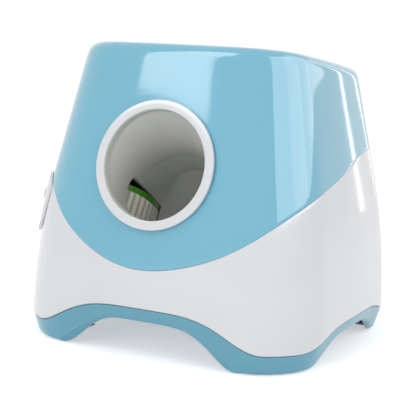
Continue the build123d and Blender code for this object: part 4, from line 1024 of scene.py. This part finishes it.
def floor_look():
    """Pale floor: diffuse, and lifted to white where it is seen."""
    look = Look("studio_floor")
    look.set("Roughness", 1.0)
    look.set("Specular IOR Level", 0.0)
    look.link(look.blend(look.spread(look.noise(scale=3.0)), FLOOR_DARK, FLOOR_PALE), "Base Color")
    look.set("Emission Color", (1.0, 1.0, 1.0, 1.0))
    look.link(look.math("MULTIPLY", seen_rays(look.tree), FLOOR_LIFT), "Emission Strength")
    return look.material


def studio_floor():
    """The floor that the object stands on."""
    corners = [(x * FLOOR_HALF, y * FLOOR_HALF, 0.0) for x, y in ((-1, -1), (1, -1), (1, 1), (-1, 1))]
    mesh = bpy.data.meshes.new("studio_floor")
    mesh.from_pydata(corners, [], [(0, 1, 2, 3)])
    mesh.materials.append(floor_look())
    floor = bpy.data.objects.new("studio_floor", mesh)
    bpy.context.scene.collection.objects.link(floor)


def studio_world():
    """An even white world: dimmer as a light than where it is seen."""
    world = bpy.data.worlds.new("studio")
    bpy.context.scene.world = world
    world.use_nodes = True
    tree = world.node_tree
    background = tree.nodes["Background"]
    background.inputs["Color"].default_value = (1.0, 1.0, 1.0, 1.0)
    strength = tree.nodes.new("ShaderNodeMapRange")
    strength.inputs["To Min"].default_value = WORLD_LIGHT
    strength.inputs["To Max"].default_value = WORLD_SEEN
    tree.links.new(seen_rays(tree), strength.inputs["Value"])
    tree.links.new(strength.outputs["Result"], background.inputs["Strength"])


def softbox(name, azimuth, elevation, distance, width, height, radiance, upright, lights, mirrors):
    """An area lamp that lights the object, shows in it as a reflection, or both."""
    turn = math.radians(azimuth)
    tilt = math.radians(elevation)
    way = Vector((math.sin(turn) * math.cos(tilt), -math.cos(turn) * math.cos(tilt), math.sin(tilt)))
    facing = Vector((way.x, way.y, 0.0)) if upright else way
    lamp = bpy.data.lights.new(name, "AREA")
    lamp.shape = "RECTANGLE"
    lamp.size = width
    lamp.size_y = height
    lamp.energy = radiance * math.pi * width * height
    holder = bpy.data.objects.new(name, lamp)
    bpy.context.scene.collection.objects.link(holder)
    holder.location = LAMP_AIM + way * distance
    holder.rotation_euler = facing.to_track_quat("Z", "Y").to_euler()
    holder.visible_diffuse = lights
    holder.visible_glossy = mirrors


# Softboxes: name, azimuth, elevation, distance, width, height, radiance, upright, lights, mirrors.
# The bands make the pale patches over the mouth and on the right corner, the streaks the thin
# lines on the right side, and the keys and the mouth's fill light the surfaces.
SOFTBOXES = (
    ("band_front_left", -27.0, 40.0, 2.2, 0.60, 1.70, 3.6, False, False, True),
    ("band_right_one", 70.0, 40.0, 2.4, 0.915, 2.4, 2.2, True, False, True),
    ("band_right_two", 98.0, 40.0, 2.4, 0.915, 2.4, 2.9, True, False, True),
    ("band_right_three", 126.0, 40.0, 2.4, 0.915, 2.4, 2.0, True, False, True),
    ("band_right_four", 146.5, 40.0, 2.4, 0.42, 2.4, 1.2, True, False, True),
    ("streak_one", 161.0, 12.0, 2.4, 0.05, 1.30, 3.0, True, False, True),
    ("streak_two", 169.0, 12.0, 2.4, 0.03, 1.30, 3.0, True, False, True),
    ("key_front", -35.0, 45.0, 2.0, 1.20, 1.20, 1.1, False, True, False),
    ("key_right", 70.0, 35.0, 2.2, 1.20, 1.20, 2.0, False, True, False),
    ("mouth_fill", -6.0, 18.0, 2.0, 0.35, 0.35, 13.0, False, True, False),
)


def photo_camera():
    """The camera at the photograph's viewing angle."""
    data = bpy.data.cameras.new("camera")
    data.lens = CAMERA_LENS
    data.sensor_width = CAMERA_SENSOR
    data.clip_start = CAMERA_NEAR
    camera = bpy.data.objects.new("camera", data)
    bpy.context.scene.collection.objects.link(camera)
    upright = Matrix.Rotation(CAMERA_TURN, 4, "Z") @ Matrix.Rotation(math.pi / 2 + CAMERA_TILT, 4, "X")
    camera.matrix_world = Matrix.Translation(CAMERA_PLACE) @ upright @ Matrix.Rotation(CAMERA_ROLL, 4, "Z")
    bpy.context.scene.camera = camera


studio_floor()
studio_world()
for row in SOFTBOXES:
    softbox(*row)
photo_camera()
bpy.context.scene.view_settings.view_transform = "Standard"

bpy.context.view_layer.update()
